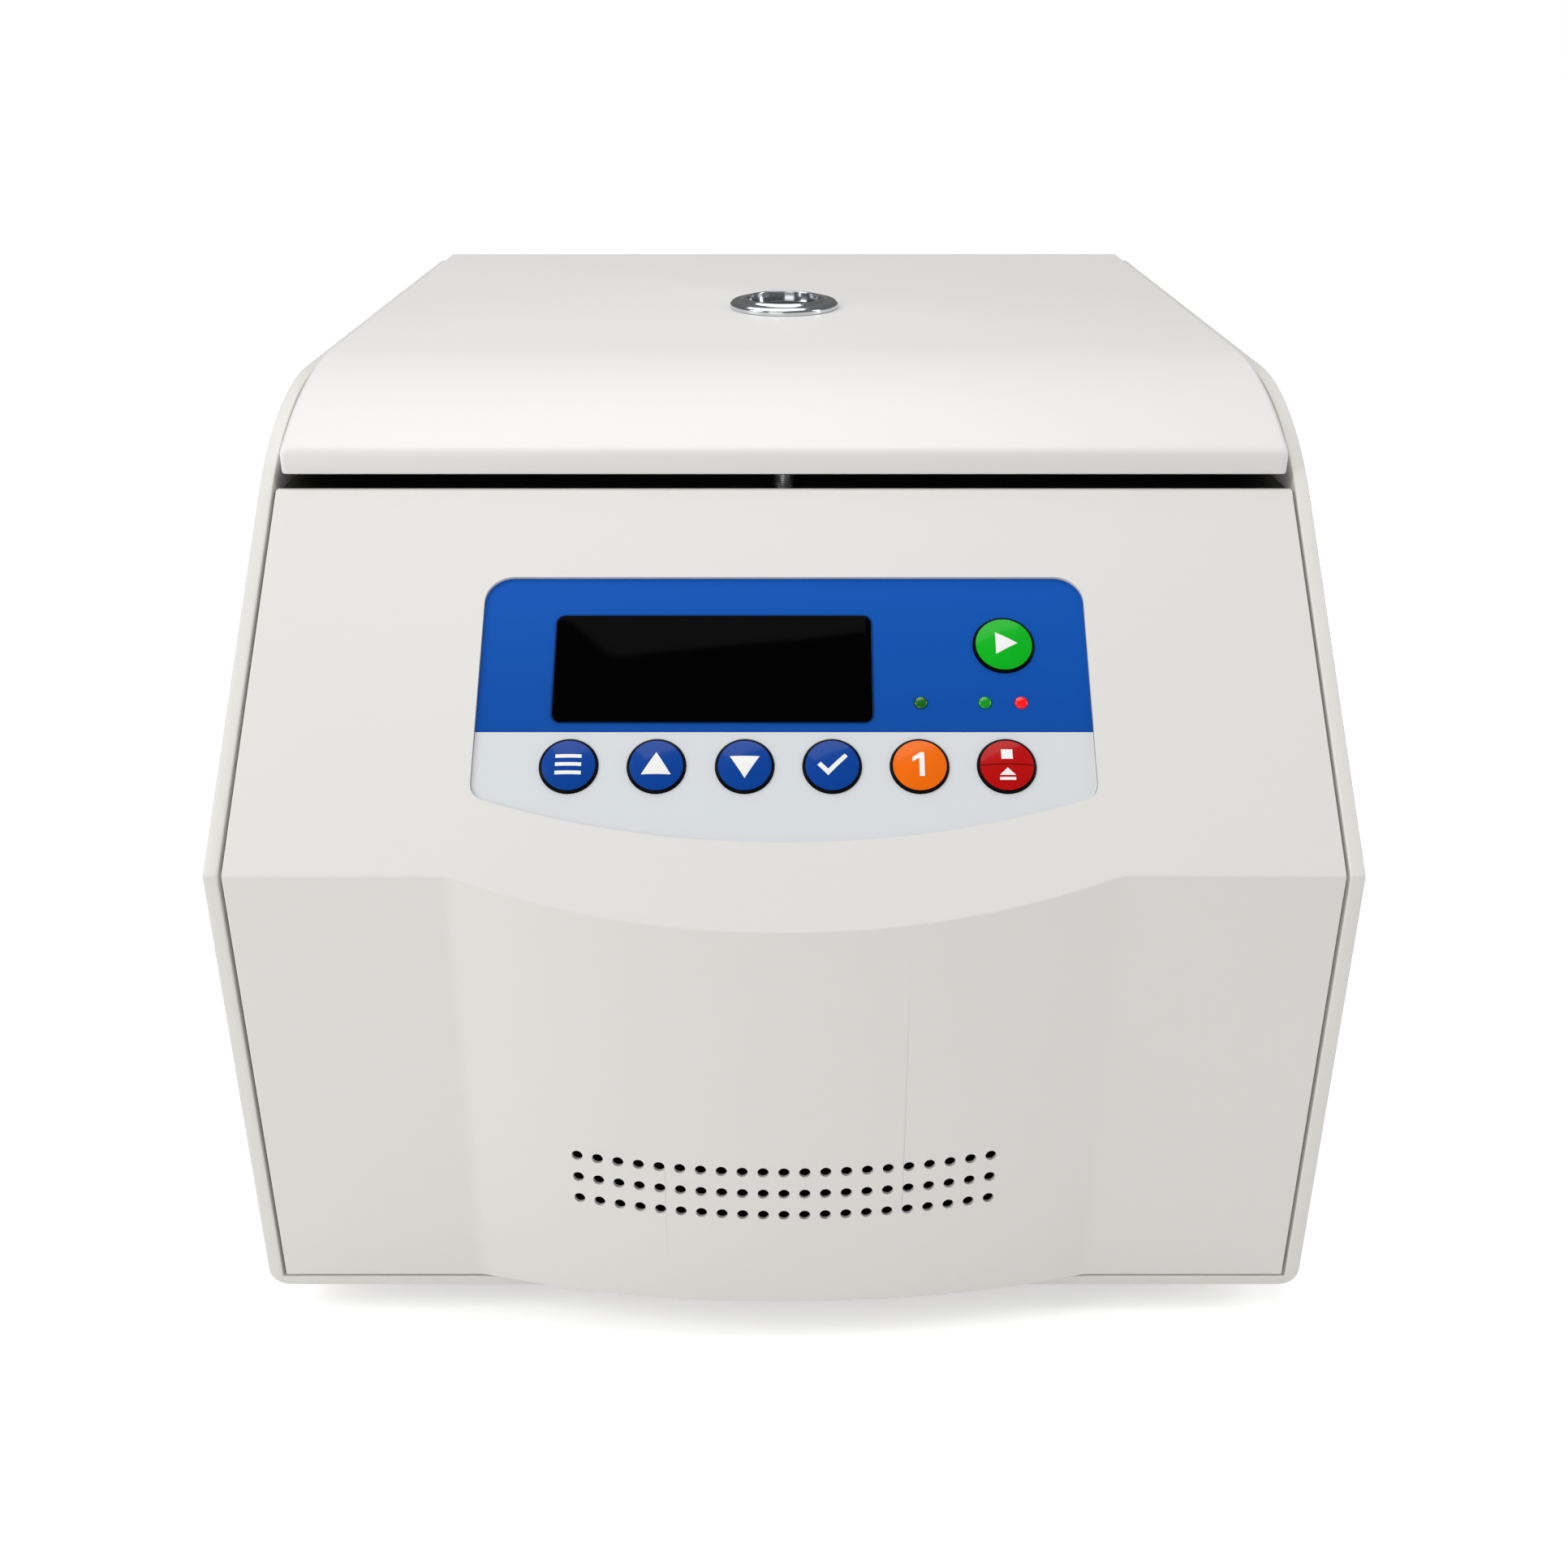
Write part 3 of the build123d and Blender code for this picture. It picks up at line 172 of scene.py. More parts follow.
def roof_at(station):
    s = sizes()
    return s.roof_height + (station - s.roof_station) * math.tan(s.roof_pitch)


def slope_frame():
    """Turns x, distance up the slope and height over it into the row's frame."""
    s = sizes()
    return Matrix.Translation(at(0, 0, s.knee)) @ Matrix.Rotation(s.slope, 4, "X")


def roof_frame(station):
    s = sizes()
    return Matrix.Translation(at(0, station, roof_at(station))) @ Matrix.Rotation(s.roof_pitch, 4, "X")


# Modelling by hand: every shape starts as a primitive and is worked on in edit mode.


def work_on(piece):
    if bpy.context.object and bpy.context.object.mode != "OBJECT":
        bpy.ops.object.mode_set(mode="OBJECT")
    bpy.ops.object.select_all(action="DESELECT")
    piece.select_set(True)
    bpy.context.view_layer.objects.active = piece


def enter(piece):
    work_on(piece)
    bpy.ops.object.mode_set(mode="EDIT")


def leave():
    bpy.ops.object.mode_set(mode="OBJECT")


def pick(piece, kind, test):
    """In edit mode, selects just the vertices, edges or faces that pass the test."""
    bpy.ops.mesh.select_mode(type=kind)
    bpy.ops.mesh.select_all(action="DESELECT")
    mesh = bmesh.from_edit_mesh(piece.data)
    things = {"VERT": mesh.verts, "EDGE": mesh.edges, "FACE": mesh.faces}[kind]
    for thing in things:
        if test(thing):
            thing.select_set(True)
    bmesh.update_edit_mesh(piece.data)


def middle(edge):
    return (edge.verts[0].co + edge.verts[1].co) / 2


def runs_along(edge, axis):
    """Whether an edge runs nearly along the x, y or z axis."""
    step = edge.verts[1].co - edge.verts[0].co
    return abs(step.normalized()[axis]) > 0.9


def near(value, target, slack=0.02 * MM):
    return abs(value - target) < slack


def named(piece, name):
    piece.name = name
    piece.data.name = name
    return piece


def apply_place(piece):
    work_on(piece)
    bpy.ops.object.transform_apply(location=True, rotation=True, scale=True)


def add_block(name, low, high):
    """A box between two corners."""
    bpy.ops.object.select_all(action="DESELECT")
    centre = (Vector(low) + Vector(high)) / 2
    bpy.ops.mesh.primitive_cube_add(size=1, location=centre)
    piece = named(bpy.context.object, name)
    piece.scale = Vector(high) - Vector(low)
    apply_place(piece)
    return piece


def add_rod(name, place, radius, low, high, sides=32):
    """A rod along the place's own Z, between two heights."""
    bpy.ops.object.select_all(action="DESELECT")
    bpy.ops.mesh.primitive_cylinder_add(vertices=sides, radius=radius, depth=high - low)
    piece = named(bpy.context.object, name)
    piece.matrix_world = place @ Matrix.Translation((0, 0, (low + high) / 2))
    apply_place(piece)
    return piece


def add_turned(name, place, profile, sides=96):
    """A turned piece: a circle is extruded and scaled along a profile of (radius, height) pairs.

    A profile that comes back to its start makes a ring. Any other keeps a flat cap at both ends.
    """
    bpy.ops.object.select_all(action="DESELECT")
    first_radius, first_height = profile[0]
    ring = near(first_radius, profile[-1][0]) and near(first_height, profile[-1][1])
    bpy.ops.mesh.primitive_circle_add(
        vertices=sides, radius=first_radius, location=(0, 0, first_height),
        fill_type="NOTHING" if ring else "NGON",
    )
    piece = named(bpy.context.object, name)
    apply_place(piece)
    enter(piece)
    bpy.ops.mesh.select_all(action="SELECT")
    extrude = bpy.ops.mesh.extrude_edges_move if ring else bpy.ops.mesh.extrude_region_move
    for (radius, height), (next_radius, next_height) in zip(profile, profile[1:]):
        extrude(TRANSFORM_OT_translate={"value": (0, 0, next_height - height)})
        grow = next_radius / radius
        bpy.ops.transform.resize(value=(grow, grow, 1), center_override=(0, 0, next_height))
    if ring:
        bpy.ops.mesh.select_all(action="SELECT")
        bpy.ops.mesh.remove_doubles(threshold=0.001 * MM)
    bpy.ops.mesh.select_all(action="SELECT")
    bpy.ops.mesh.normals_make_consistent(inside=False)
    leave()
    piece.matrix_world = place
    apply_place(piece)
    return piece


def bisect(point, normal, clear=True):
    """Cuts with a plane, in edit mode, and closes the cut where one side goes."""
    bpy.ops.mesh.select_all(action="SELECT")
    bpy.ops.mesh.bisect(plane_co=point, plane_no=normal, use_fill=clear, clear_outer=clear)


def bevel_picked(radius, turn, segments):
    """Rounds the picked edges, whose faces turn by an angle, to a radius.

    The profile value keeps a shallow arc round, where the usual one would flatten it.
    """
    arc = (1 - 0.5 / (1 + math.cos(turn / 2))) ** 2
    bpy.ops.mesh.bevel(offset=radius * math.tan(turn / 2), segments=segments, profile=arc, affect="EDGES")


def merge_points(distance):
    """In edit mode, merges points that lie closer than a distance."""
    bpy.ops.mesh.select_mode(type="VERT")
    bpy.ops.mesh.select_all(action="SELECT")
    bpy.ops.mesh.remove_doubles(threshold=distance)


def apply_modifier(piece, kind, **settings):
    work_on(piece)
    modifier = piece.modifiers.new(kind.title(), kind)
    for name, value in settings.items():
        setattr(modifier, name, value)
    bpy.ops.object.modifier_apply(modifier=modifier.name)


def cut(piece, *tools):
    """Cuts tools out of a piece, and removes the tools."""
    tool = joined("tool", tools)
    apply_modifier(piece, "BOOLEAN", operation="DIFFERENCE", solver="EXACT", object=tool)
    bpy.data.objects.remove(tool)


def weld(piece, *extras):
    tool = joined("extra", extras)
    apply_modifier(piece, "BOOLEAN", operation="UNION", solver="EXACT", object=tool)
    bpy.data.objects.remove(tool)


def joined(name, pieces):
    work_on(pieces[0])
    for piece in pieces:
        piece.select_set(True)
    if len(pieces) > 1:
        bpy.ops.object.join()
    return named(bpy.context.object, name)


def soften(piece, radius, segments=3, angle=35):
    """Rounds every sharp edge a little, as a mould or a file leaves it."""
    apply_modifier(
        piece, "BEVEL", width=radius, segments=segments, limit_method="ANGLE",
        angle_limit=math.radians(angle), harden_normals=False, use_clamp_overlap=True,
    )


def shade(piece, angle=35):
    work_on(piece)
    bpy.ops.object.shade_smooth_by_angle(angle=math.radians(angle))


def flatten(piece):
    """Keeps broad flat faces flat to the eye where small rounded edges meet them."""
    apply_modifier(piece, "WEIGHTED_NORMAL", keep_sharp=True, weight=100)


def lend_normals(piece, skin):
    """Shades a piece as the uncut skin is shaded, wherever it still lies on that skin."""
    shade(skin, 20)
    flatten(skin)
    apply_modifier(
        piece, "DATA_TRANSFER", object=skin, use_loop_data=True, data_types_loops={"CUSTOM_NORMAL"},
        loop_mapping="POLYINTERP_NEAREST", use_max_distance=True, max_distance=0.02 * MM,
    )
    bpy.data.objects.remove(skin)


def dress(piece, material, body, *nodes, angle=35):
    """Gives a piece its shading, its finish and the body it rides on, and hides the nodes it stands for."""
    shade(piece, angle)
    piece.data.materials.clear()
    piece.data.materials.append(material)
    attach(piece, body)
    if nodes:
        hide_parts(*nodes)
    return piece


# Finishes.


def add_node(tree, kind, inputs=None, **settings):
    """Adds a node, sets it, and links or fills its inputs."""
    node = tree.nodes.new(kind)
    for name, value in settings.items():
        setattr(node, name, value)
    for name, value in (inputs or {}).items():
        if isinstance(value, bpy.types.NodeSocket):
            tree.links.new(value, node.inputs[name])
        else:
            node.inputs[name].default_value = value
    return node


def new_finish(name, **values):
    """A material whose shader has the given values, and its node tree, shader and object coordinates."""
    material = bpy.data.materials.new(name)
    material.use_nodes = True
    tree = material.node_tree
    shader = tree.nodes["Principled BSDF"]
    for socket, value in values.items():
        shader.inputs[socket.replace("_", " ")].default_value = value
    place = add_node(tree, "ShaderNodeTexCoord").outputs["Object"]
    return material, tree, shader, place


def shaded(colour, share):
    return [c * share for c in list(colour)[:3]] + [1.0]


def mottle(tree, shader, place, colour, size, spread):
    """Lets the colour drift by a small share over patches of a size, as pigment does."""
    noise = add_node(tree, "ShaderNodeTexNoise", {"Vector": place, "Scale": 1 / size, "Detail": 3.0})
    ramp = add_node(tree, "ShaderNodeMix", {"Factor": noise.outputs["Fac"]}, data_type="RGBA")
    ramp.inputs[6].default_value = shaded(colour, 1 - spread)
    ramp.inputs[7].default_value = shaded(colour, 1 + spread)
    tree.links.new(ramp.outputs[2], shader.inputs["Base Color"])
    return noise


def grain(tree, shader, place, size, height, detail=2.0):
    """Raises a fine grain of a size and height on the surface."""
    noise = add_node(tree, "ShaderNodeTexNoise", {"Vector": place, "Scale": 1 / size, "Detail": detail})
    bump = add_node(
        tree, "ShaderNodeBump", {"Height": noise.outputs["Fac"], "Distance": height, "Strength": 1.0}
    )
    tree.links.new(bump.outputs["Normal"], shader.inputs["Normal"])
    return noise


def uneven_gloss(tree, shader, noise, low, high):
    """Lets the roughness follow a noise between two values."""
    span = add_node(
        tree, "ShaderNodeMapRange", {"Value": noise.outputs["Fac"], "To Min": low, "To Max": high}
    )
    tree.links.new(span.outputs["Result"], shader.inputs["Roughness"])


def powder_coat(name, colour):
    """Steel sheet under baked powder coat: a soft orange-peel surface with a low sheen."""
    material, tree, shader, place = new_finish(name, Roughness=0.42, IOR=1.5)
    mottle(tree, shader, place, colour, 60 * MM, 0.012)
    peel = grain(tree, shader, place, 1.6 * MM, 0.010 * MM)
    uneven_gloss(tree, shader, peel, 0.38, 0.48)
    return material


def moulded_abs(name, colour, rough=0.40):
    """Injection-moulded ABS: even colour and a fine spark-eroded grain, drawn at 0.9 mm to show."""
    material, tree, shader, place = new_finish(name, Roughness=rough, IOR=1.53)
    mottle(tree, shader, place, colour, 90 * MM, 0.010)
    texture = grain(tree, shader, place, 0.9 * MM, 0.006 * MM)
    uneven_gloss(tree, shader, texture, rough - 0.05, rough + 0.06)
    return material


def dark_abs(name, colour, rough=0.5):
    """Dark moulded ABS with a coarser grain."""
    material, tree, shader, place = new_finish(name, Roughness=rough, IOR=1.53)
    mottle(tree, shader, place, colour, 25 * MM, 0.10)
    texture = grain(tree, shader, place, 0.7 * MM, 0.02 * MM)
    uneven_gloss(tree, shader, texture, rough - 0.08, rough + 0.08)
    return material


def printed_film(name, colour, painted_shade_spread=0.0):
    """Reverse-printed polycarbonate film: flat ink under a velvet face, with painted shade that darkens it
    down the slope and a painted lighter top.
    """
    material, tree, shader, place = new_finish(name, Roughness=0.34, IOR=1.58, Specular_IOR_Level=0.05)
    height = add_node(tree, "ShaderNodeSeparateXYZ", {"Vector": place}).outputs["Z"]
    s = sizes()
    low = UNDERSIDE + s.knee + s.keypad_split * math.sin(s.slope)
    high = UNDERSIDE + s.knee + s.keypad_top * math.sin(s.slope)
    span = add_node(tree, "ShaderNodeMapRange", {"Value": height, "From Min": low, "From Max": high})
    # Painted light and shade: the colour is made lighter up the slope and darker down it, as light falls on
    # the film.
    ink = add_node(tree, "ShaderNodeMix", {"Factor": span.outputs["Result"]}, data_type="RGBA")
    ink.inputs[6].default_value = shaded(colour, 1 - painted_shade_spread)
    ink.inputs[7].default_value = shaded(colour, 1 + painted_shade_spread)
    tree.links.new(ink.outputs[2], shader.inputs["Base Color"])
    velvet = grain(tree, shader, place, 0.6 * MM, 0.003 * MM)
    uneven_gloss(tree, shader, velvet, 0.28, 0.38)
    return material


def doming_resin(name, colour):
    """Ink under clear doming resin: saturated colour below a thin, wet coat."""
    material, tree, shader, place = new_finish(
        name, Roughness=0.35, IOR=1.5, Specular_IOR_Level=0.12,
        Coat_Weight=0.3, Coat_Roughness=0.08, Coat_IOR=1.4,
    )
    mottle(tree, shader, place, colour, 6 * MM, 0.05)
    return material


def smoked_acrylic(name, reflects):
    """Bloomed smoked acrylic: black, its reflections cut by a coating."""
    material, tree, shader, place = new_finish(name, Roughness=0.06, IOR=1.49, Specular_IOR_Level=reflects)
    mottle(tree, shader, place, linear("#020202")[:3], 20 * MM, 0.3)
    haze = add_node(tree, "ShaderNodeTexNoise", {"Vector": place, "Scale": 1 / (8 * MM), "Detail": 4.0})
    uneven_gloss(tree, shader, haze, 0.04, 0.10)
    return material


def chrome_plate(name):
    """Chrome plate on turned brass: bright, faintly blue, with hair-fine polishing marks."""
    material, tree, shader, place = new_finish(name, Metallic=1.0, Roughness=0.12)
    mottle(tree, shader, place, linear("#d5d8dc")[:3], 4 * MM, 0.04)
    marks = grain(tree, shader, place, 0.5 * MM, 0.002 * MM, 4.0)
    uneven_gloss(tree, shader, marks, 0.08, 0.20)
    return material


def turned_steel(name, colour, pitch, centre=(0, 0, 0)):
    """Lathe-turned steel or aluminium: fine rings about its axis, drawn at a pitch that shows."""
    material, tree, shader, place = new_finish(name, Metallic=1.0, Roughness=0.3)
    mottle(tree, shader, place, linear(colour)[:3], 30 * MM, 0.05)
    centred = add_node(tree, "ShaderNodeMapping", {"Vector": place, "Location": [-c for c in centre]})
    one_wave, full_turn = 0.314, 6.2832
    ring_scale = one_wave / (pitch * MM) / full_turn
    rings = add_node(
        tree, "ShaderNodeTexWave",
        {"Vector": centred.outputs["Vector"], "Scale": ring_scale, "Distortion": 0.6, "Detail": 2.0},
        wave_type="RINGS", rings_direction="Z",
    )
    bump = add_node(
        tree, "ShaderNodeBump", {"Height": rings.outputs["Fac"], "Distance": 0.004 * MM, "Strength": 0.5}
    )
    tree.links.new(bump.outputs["Normal"], shader.inputs["Normal"])
    uneven_gloss(tree, shader, rings, 0.27, 0.36)
    return material


def brushed_steel(name, colour):
    """Brushed stainless sheet: streaks drawn out along one direction."""
    material, tree, shader, place = new_finish(name, Metallic=1.0, Roughness=0.32)
    mottle(tree, shader, place, linear(colour)[:3], 40 * MM, 0.05)
    drawn = add_node(tree, "ShaderNodeMapping", {"Vector": place, "Scale": (1.0, 1.0, 30.0)})
    streaks = grain(tree, shader, drawn.outputs["Vector"], 12 * MM, 0.006 * MM, 5.0)
    uneven_gloss(tree, shader, streaks, 0.26, 0.42)
    return material


def zinc_plate(name):
    """Bright zinc plate on pressed steel: grey, slightly clouded."""
    material, tree, shader, place = new_finish(name, Metallic=1.0, Roughness=0.38)
    clouds = mottle(tree, shader, place, linear("#9b9fa3")[:3], 9 * MM, 0.12)
    uneven_gloss(tree, shader, clouds, 0.30, 0.48)
    return material


def moulded_rubber(name):
    """Moulded black rubber: matt, with a dusty bloom."""
    material, tree, shader, place = new_finish(name, Roughness=0.75, IOR=1.52)
    mottle(tree, shader, place, linear("#1b1b1b")[:3], 12 * MM, 0.2)
    grain(tree, shader, place, 1.0 * MM, 0.03 * MM)
    return material


def circuit_board(name):
    """Green solder mask over etched copper."""
    material, tree, shader, place = new_finish(name, Roughness=0.35, IOR=1.5)
    mottle(tree, shader, place, linear("#12452a")[:3], 5 * MM, 0.25)
    return material


def lamp_lens(name, code, glow):
    """A small diffusing lamp lens with its light just showing."""
    material, tree, shader, place = new_finish(name, Roughness=0.22, IOR=1.5, Coat_Weight=0.5)
    mottle(tree, shader, place, linear(code)[:3], 2 * MM, 0.08)
    shader.inputs["Emission Color"].default_value = linear(code)
    shader.inputs["Emission Strength"].default_value = glow
    return material


def white_ink(name):
    """Opaque white screen-printing ink."""
    material, tree, shader, place = new_finish(name, Roughness=0.45, IOR=1.5)
    mottle(tree, shader, place, linear("#f4f4f2")[:3], 3 * MM, 0.01)
    return material


finishes = {}


def make_finishes():
    c = colours()
    rotor_low, rotor_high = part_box("rotor")
    centre = (rotor_low + rotor_high) / 2
    finishes["case"] = powder_coat("powder_coated_steel_white", c.case)
    finishes["panel"] = moulded_abs("moulded_abs_panel_white", c.panel)
    finishes["lid"] = moulded_abs("moulded_abs_lid_white", c.lid, 0.44)
    finishes["dark"] = dark_abs("moulded_abs_black", linear("#161617")[:3])
    finishes["deck"] = dark_abs("moulded_abs_charcoal", linear("#2b2b2c")[:3], 0.55)
    # The blue film gets painted shade: lighter at its top, darker where it meets the pale film.
    finishes["film_blue"] = printed_film("printed_polycarbonate_blue_with_painted_shade", c.film_blue, 0.12)
    finishes["film_pale"] = printed_film("printed_polycarbonate_pale", c.film_pale)
    finishes["key_blue"] = doming_resin("doming_resin_blue", c.key_blue)
    finishes["key_green"] = doming_resin("doming_resin_green", c.key_green)
    finishes["key_orange"] = doming_resin("doming_resin_orange", c.key_orange)
    finishes["key_red"] = doming_resin("doming_resin_red", c.key_red)
    # Black for the stop key's printed line, and as painted shade for the gap round each key.
    finishes["black_print_and_gap_shade"] = printed_film("black_print_and_painted_gap_shade", linear("#050505")[:3])
    finishes["outline"] = printed_film("printed_polycarbonate_outline", linear("#0b3c82")[:3])
    finishes["window"] = smoked_acrylic("bloomed_acrylic_smoked", 0.02)
    finishes["glass"] = smoked_acrylic("polished_acrylic_dark", 0.5)
    finishes["chrome"] = chrome_plate("chrome_plated_brass")
    finishes["turned"] = turned_steel("turned_steel_bright", "#c4c5c7", 0.5)
    finishes["rotor"] = turned_steel("turned_aluminium_rotor", "#b4b6b9", 2.0, centre)
    finishes["bowl"] = brushed_steel("brushed_stainless_bowl", "#a9aaab")
    finishes["steel"] = zinc_plate("zinc_plated_steel")
    finishes["rubber"] = moulded_rubber("moulded_rubber_black")
    finishes["board"] = circuit_board("solder_masked_board")
    finishes["lamp_ready"] = lamp_lens("diffusing_lens_dark_green", "#016805", 0.0)
    finishes["lamp_run"] = lamp_lens("diffusing_lens_green", "#019215", 0.1)
    finishes["lamp_stop"] = lamp_lens("diffusing_lens_red", "#f60307", 0.25)
    finishes["ink"] = white_ink("screen_printed_ink_white")


CAD_FINISHES = {
    "rubber": ("motor_isolators", "motor_boot"),
    "rotor": ("drive_motor", "heat_sink"),
    "turned": ("drive_shaft",),
    "steel": (
        "hinge_pins", "deck_rails", "base_plate", "motor_plate", "guard_ring", "guard_posts",
        "board_standoffs", "foot_screws",
    ),
    "dark": ("key_switches",),
    "board": ("keypad_board", "power_board", "display_module"),
}


# Shells.


def side_profile_block(name, low, high):
    """A block between two corners, cut by the slope and the roof and rounded at the shoulder."""
    s = sizes()
    roof = roof_at(0) - s.lid_proud
    piece = add_block(name, low, high)
    enter(piece)
    bisect(at(0, 0, s.knee), tilted(s.slope))
    bisect(at(0, 0, roof), tilted(s.roof_pitch))
    rise = math.tan(s.slope) - math.tan(s.roof_pitch)
    shoulder = (roof - s.knee) / rise
    pick(piece, "EDGE", lambda e: near(middle(e).y, FRONT + shoulder, 0.1 * MM) and runs_along(e, X))
    bevel_picked(s.shoulder, s.slope - s.roof_pitch, segments=28)
    leave()
    return piece


def build_case():
    """The case: one wrap of sheet with rounded lower corners and softened rims."""
    s = sizes()
    above, beyond, flange_width, flange_thick, bite = 20 * MM, 10 * MM, 12 * MM, 2 * MM, 0.5 * MM
    piece = side_profile_block("case_shell", CASE_LOW, CASE_HIGH + Vector((0, 0, above)))
    enter(piece)
    pick(piece, "EDGE", lambda e: near(middle(e).z, CASE_LOW.z) and runs_along(e, Y))
    bevel_picked(s.case_corner, math.pi / 2, segments=10)
    leave()
    inner = CASE_HIGH.x - s.case_wall
    hollow = add_block(
        "hollow", (-inner, CASE_LOW.y - beyond, CASE_LOW.z + s.case_bottom),
        (inner, CASE_HIGH.y + beyond, 500 * MM),
    )
    cut(piece, hollow)
    soften(piece, s.edge_round, 4, 40)
    back_low, back_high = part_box("back_panel")
    for side in (-1, 1):
        strip = sorted((side * inner, side * (inner - flange_width)))
        flange = add_block(
            "flange", (strip[0] - bite, back_low.y - flange_thick, CASE_LOW.z + s.case_bottom / 2),
            (strip[1] + bite, back_low.y, back_high.z),
        )
        weld(piece, flange)
    feet_low, feet_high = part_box("rubber_feet")
    tools = []
    for x in (feet_low.x + FOOT_RADIUS, feet_high.x - FOOT_RADIUS):
        for y in (feet_low.y + FOOT_RADIUS, feet_high.y - FOOT_RADIUS):
            place = Matrix.Translation((x, y, CASE_LOW.z))
            tools.append(add_rod("tool", place, FOOT_SCREW, -beyond, beyond))
    cut(piece, *tools)
    dress(piece, finishes["case"], "housing", "outer_case", angle=30)


def bow_radius():
    """The radius of the bowed middle, from its width and depth."""
    s = sizes()
    return (s.bulge_half_width ** 2 + s.bulge_depth ** 2) / (2 * s.bulge_depth)


def bowed_block(name, inset, low, high):
    """The front panel's plan as a block: flat ends, bowed middle, and a soft hollow where they meet."""
    s = sizes()
    half = PANEL_HIGH.x - inset - s.panel_gap
    radius = bow_radius()
    centre = radius - s.bulge_depth
    bow = radius - inset
    reach = math.sqrt(bow ** 2 - (centre - inset) ** 2)
    turn = math.asin(reach / bow)
    apex = reach * math.tan(turn)
    front = FRONT + inset
    piece = add_block(name, (-half, front, low), (half, PANEL_HIGH.y, high))
    enter(piece)
    for x in (-reach, 0, reach):
        bisect((x, 0, 0), (1, 0, 0), clear=False)
    pick(piece, "VERT", lambda v: near(v.co.x, 0) and near(v.co.y, front))
    bpy.ops.transform.translate(value=(0, -apex, 0))
    pick(piece, "EDGE", lambda e: near(middle(e).x, 0) and runs_along(e, Z) and middle(e).y < front)
    bevel_picked(bow * JUST_UNDER, 2 * turn, segments=56 if inset else 66)
    merge_points(STRAY_POINTS)
    pick(
        piece, "EDGE",
        lambda e: near(abs(middle(e).x), reach) and runs_along(e, Z) and near(middle(e).y, front),
    )
    bevel_picked(s.bulge_blend + inset, turn, segments=8)
    merge_points(STRAY_POINTS)
    under_slope = slope_frame().to_3x3() @ Vector((0, 0, inset))
    bisect(at(0, 0, s.knee) - under_slope, tilted(s.slope))
    leave()
    return piece


def keypad_block(name, inset, low, high):
    """The keypad's outline as a prism on the slope, between two heights over it."""
    s = sizes()
    half = s.keypad_half_width - inset
    bottom = s.keypad_bottom + inset
    radius = s.keypad_bow - inset
    corner = bottom + radius - math.sqrt(radius ** 2 - half ** 2)
    turn = math.asin(half / radius)
    top = s.keypad_top - inset
    upper_corner, lower_corner = 10 * MM, 7 * MM
    piece = add_block(name, (-half, corner, low), (half, top, high))
    enter(piece)
    bisect((0, 0, 0), (1, 0, 0), clear=False)
    pick(piece, "VERT", lambda v: near(v.co.x, 0) and near(v.co.y, corner))
    bpy.ops.transform.translate(value=(0, -half * math.tan(turn), 0))
    pick(piece, "EDGE", lambda e: near(middle(e).x, 0) and runs_along(e, Z) and middle(e).y < corner)
    bevel_picked(radius * JUST_UNDER, 2 * turn, segments=40)
    merge_points(STRAY_POINTS)
    pick(
        piece, "EDGE",
        lambda e: near(abs(middle(e).x), half) and runs_along(e, Z) and middle(e).y > top - 1 * MM,
    )
    bevel_picked(upper_corner - inset, math.pi / 2, segments=10)
    pick(
        piece, "EDGE",
        lambda e: near(abs(middle(e).x), half) and runs_along(e, Z) and near(middle(e).y, corner),
    )
    bevel_picked(lower_corner - inset, math.pi / 2 - turn, segments=8)
    leave()
    return piece


def seat_on_slope(piece):
    piece.matrix_world = slope_frame() @ piece.matrix_world
    apply_place(piece)
    return piece


def slope_place(name):
    """Where a part's middle stands on the slope, measured along the slope's own axes."""
    low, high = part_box(name)
    local = slope_frame().inverted() @ ((low + high) / 2)
    return Vector((local.x, local.y, 0))


KEYS = {
    "start_button": ("key_green", "start_key"),
    "set_button": ("key_blue", "set_key"),
    "up_button": ("key_blue", "up_key"),
    "down_button": ("key_blue", "down_key"),
    "ok_button": ("key_blue", "ok_key"),
    "preset_button": ("key_orange", "preset_key"),
    "stop_button": ("key_red", "stop_key"),
}
KEY_FLANGE, KEY_GAP = 1.6 * MM, 0.3 * MM
LAMPS = {"ready_lamp": "lamp_ready", "run_lamp": "lamp_run", "stop_lamp": "lamp_stop"}
LAMP_RADIUS, LAMP_HOLE = 2.2 * MM, 2.35 * MM
WINDOW_LEDGE, PANE_THICKNESS, OUTLINE_WIDTH = 2.5 * MM, 1.5 * MM, 0.6 * MM


def key_radius(name):
    low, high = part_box(name)
    return (high.x - low.x) / 2 - KEY_FLANGE


def vent_tools():
    """One rod for each vent hole, square to the bowed wall. The rows lift a little at their ends."""
    s = sizes()
    radius = bow_radius()
    rows, lift, columns = (44.2 * MM, 53.4 * MM, 62.6 * MM), 3 * MM, 10
    tools = []
    for row in rows:
        for column in range(-columns, columns + 1):
            turn = column * s.vent_pitch / radius
            height = row + lift * (column / columns) ** 2
            place = Matrix.Translation(
                at(radius * math.sin(turn), radius - s.bulge_depth - radius * math.cos(turn), height)
            )
            place = place @ Matrix.Rotation(turn, 4, "Z") @ Matrix.Rotation(math.pi / 2, 4, "X")
            tools.append(add_rod("tool", place, s.vent_diameter / 2, -THROUGH, THROUGH, 20))
    return tools


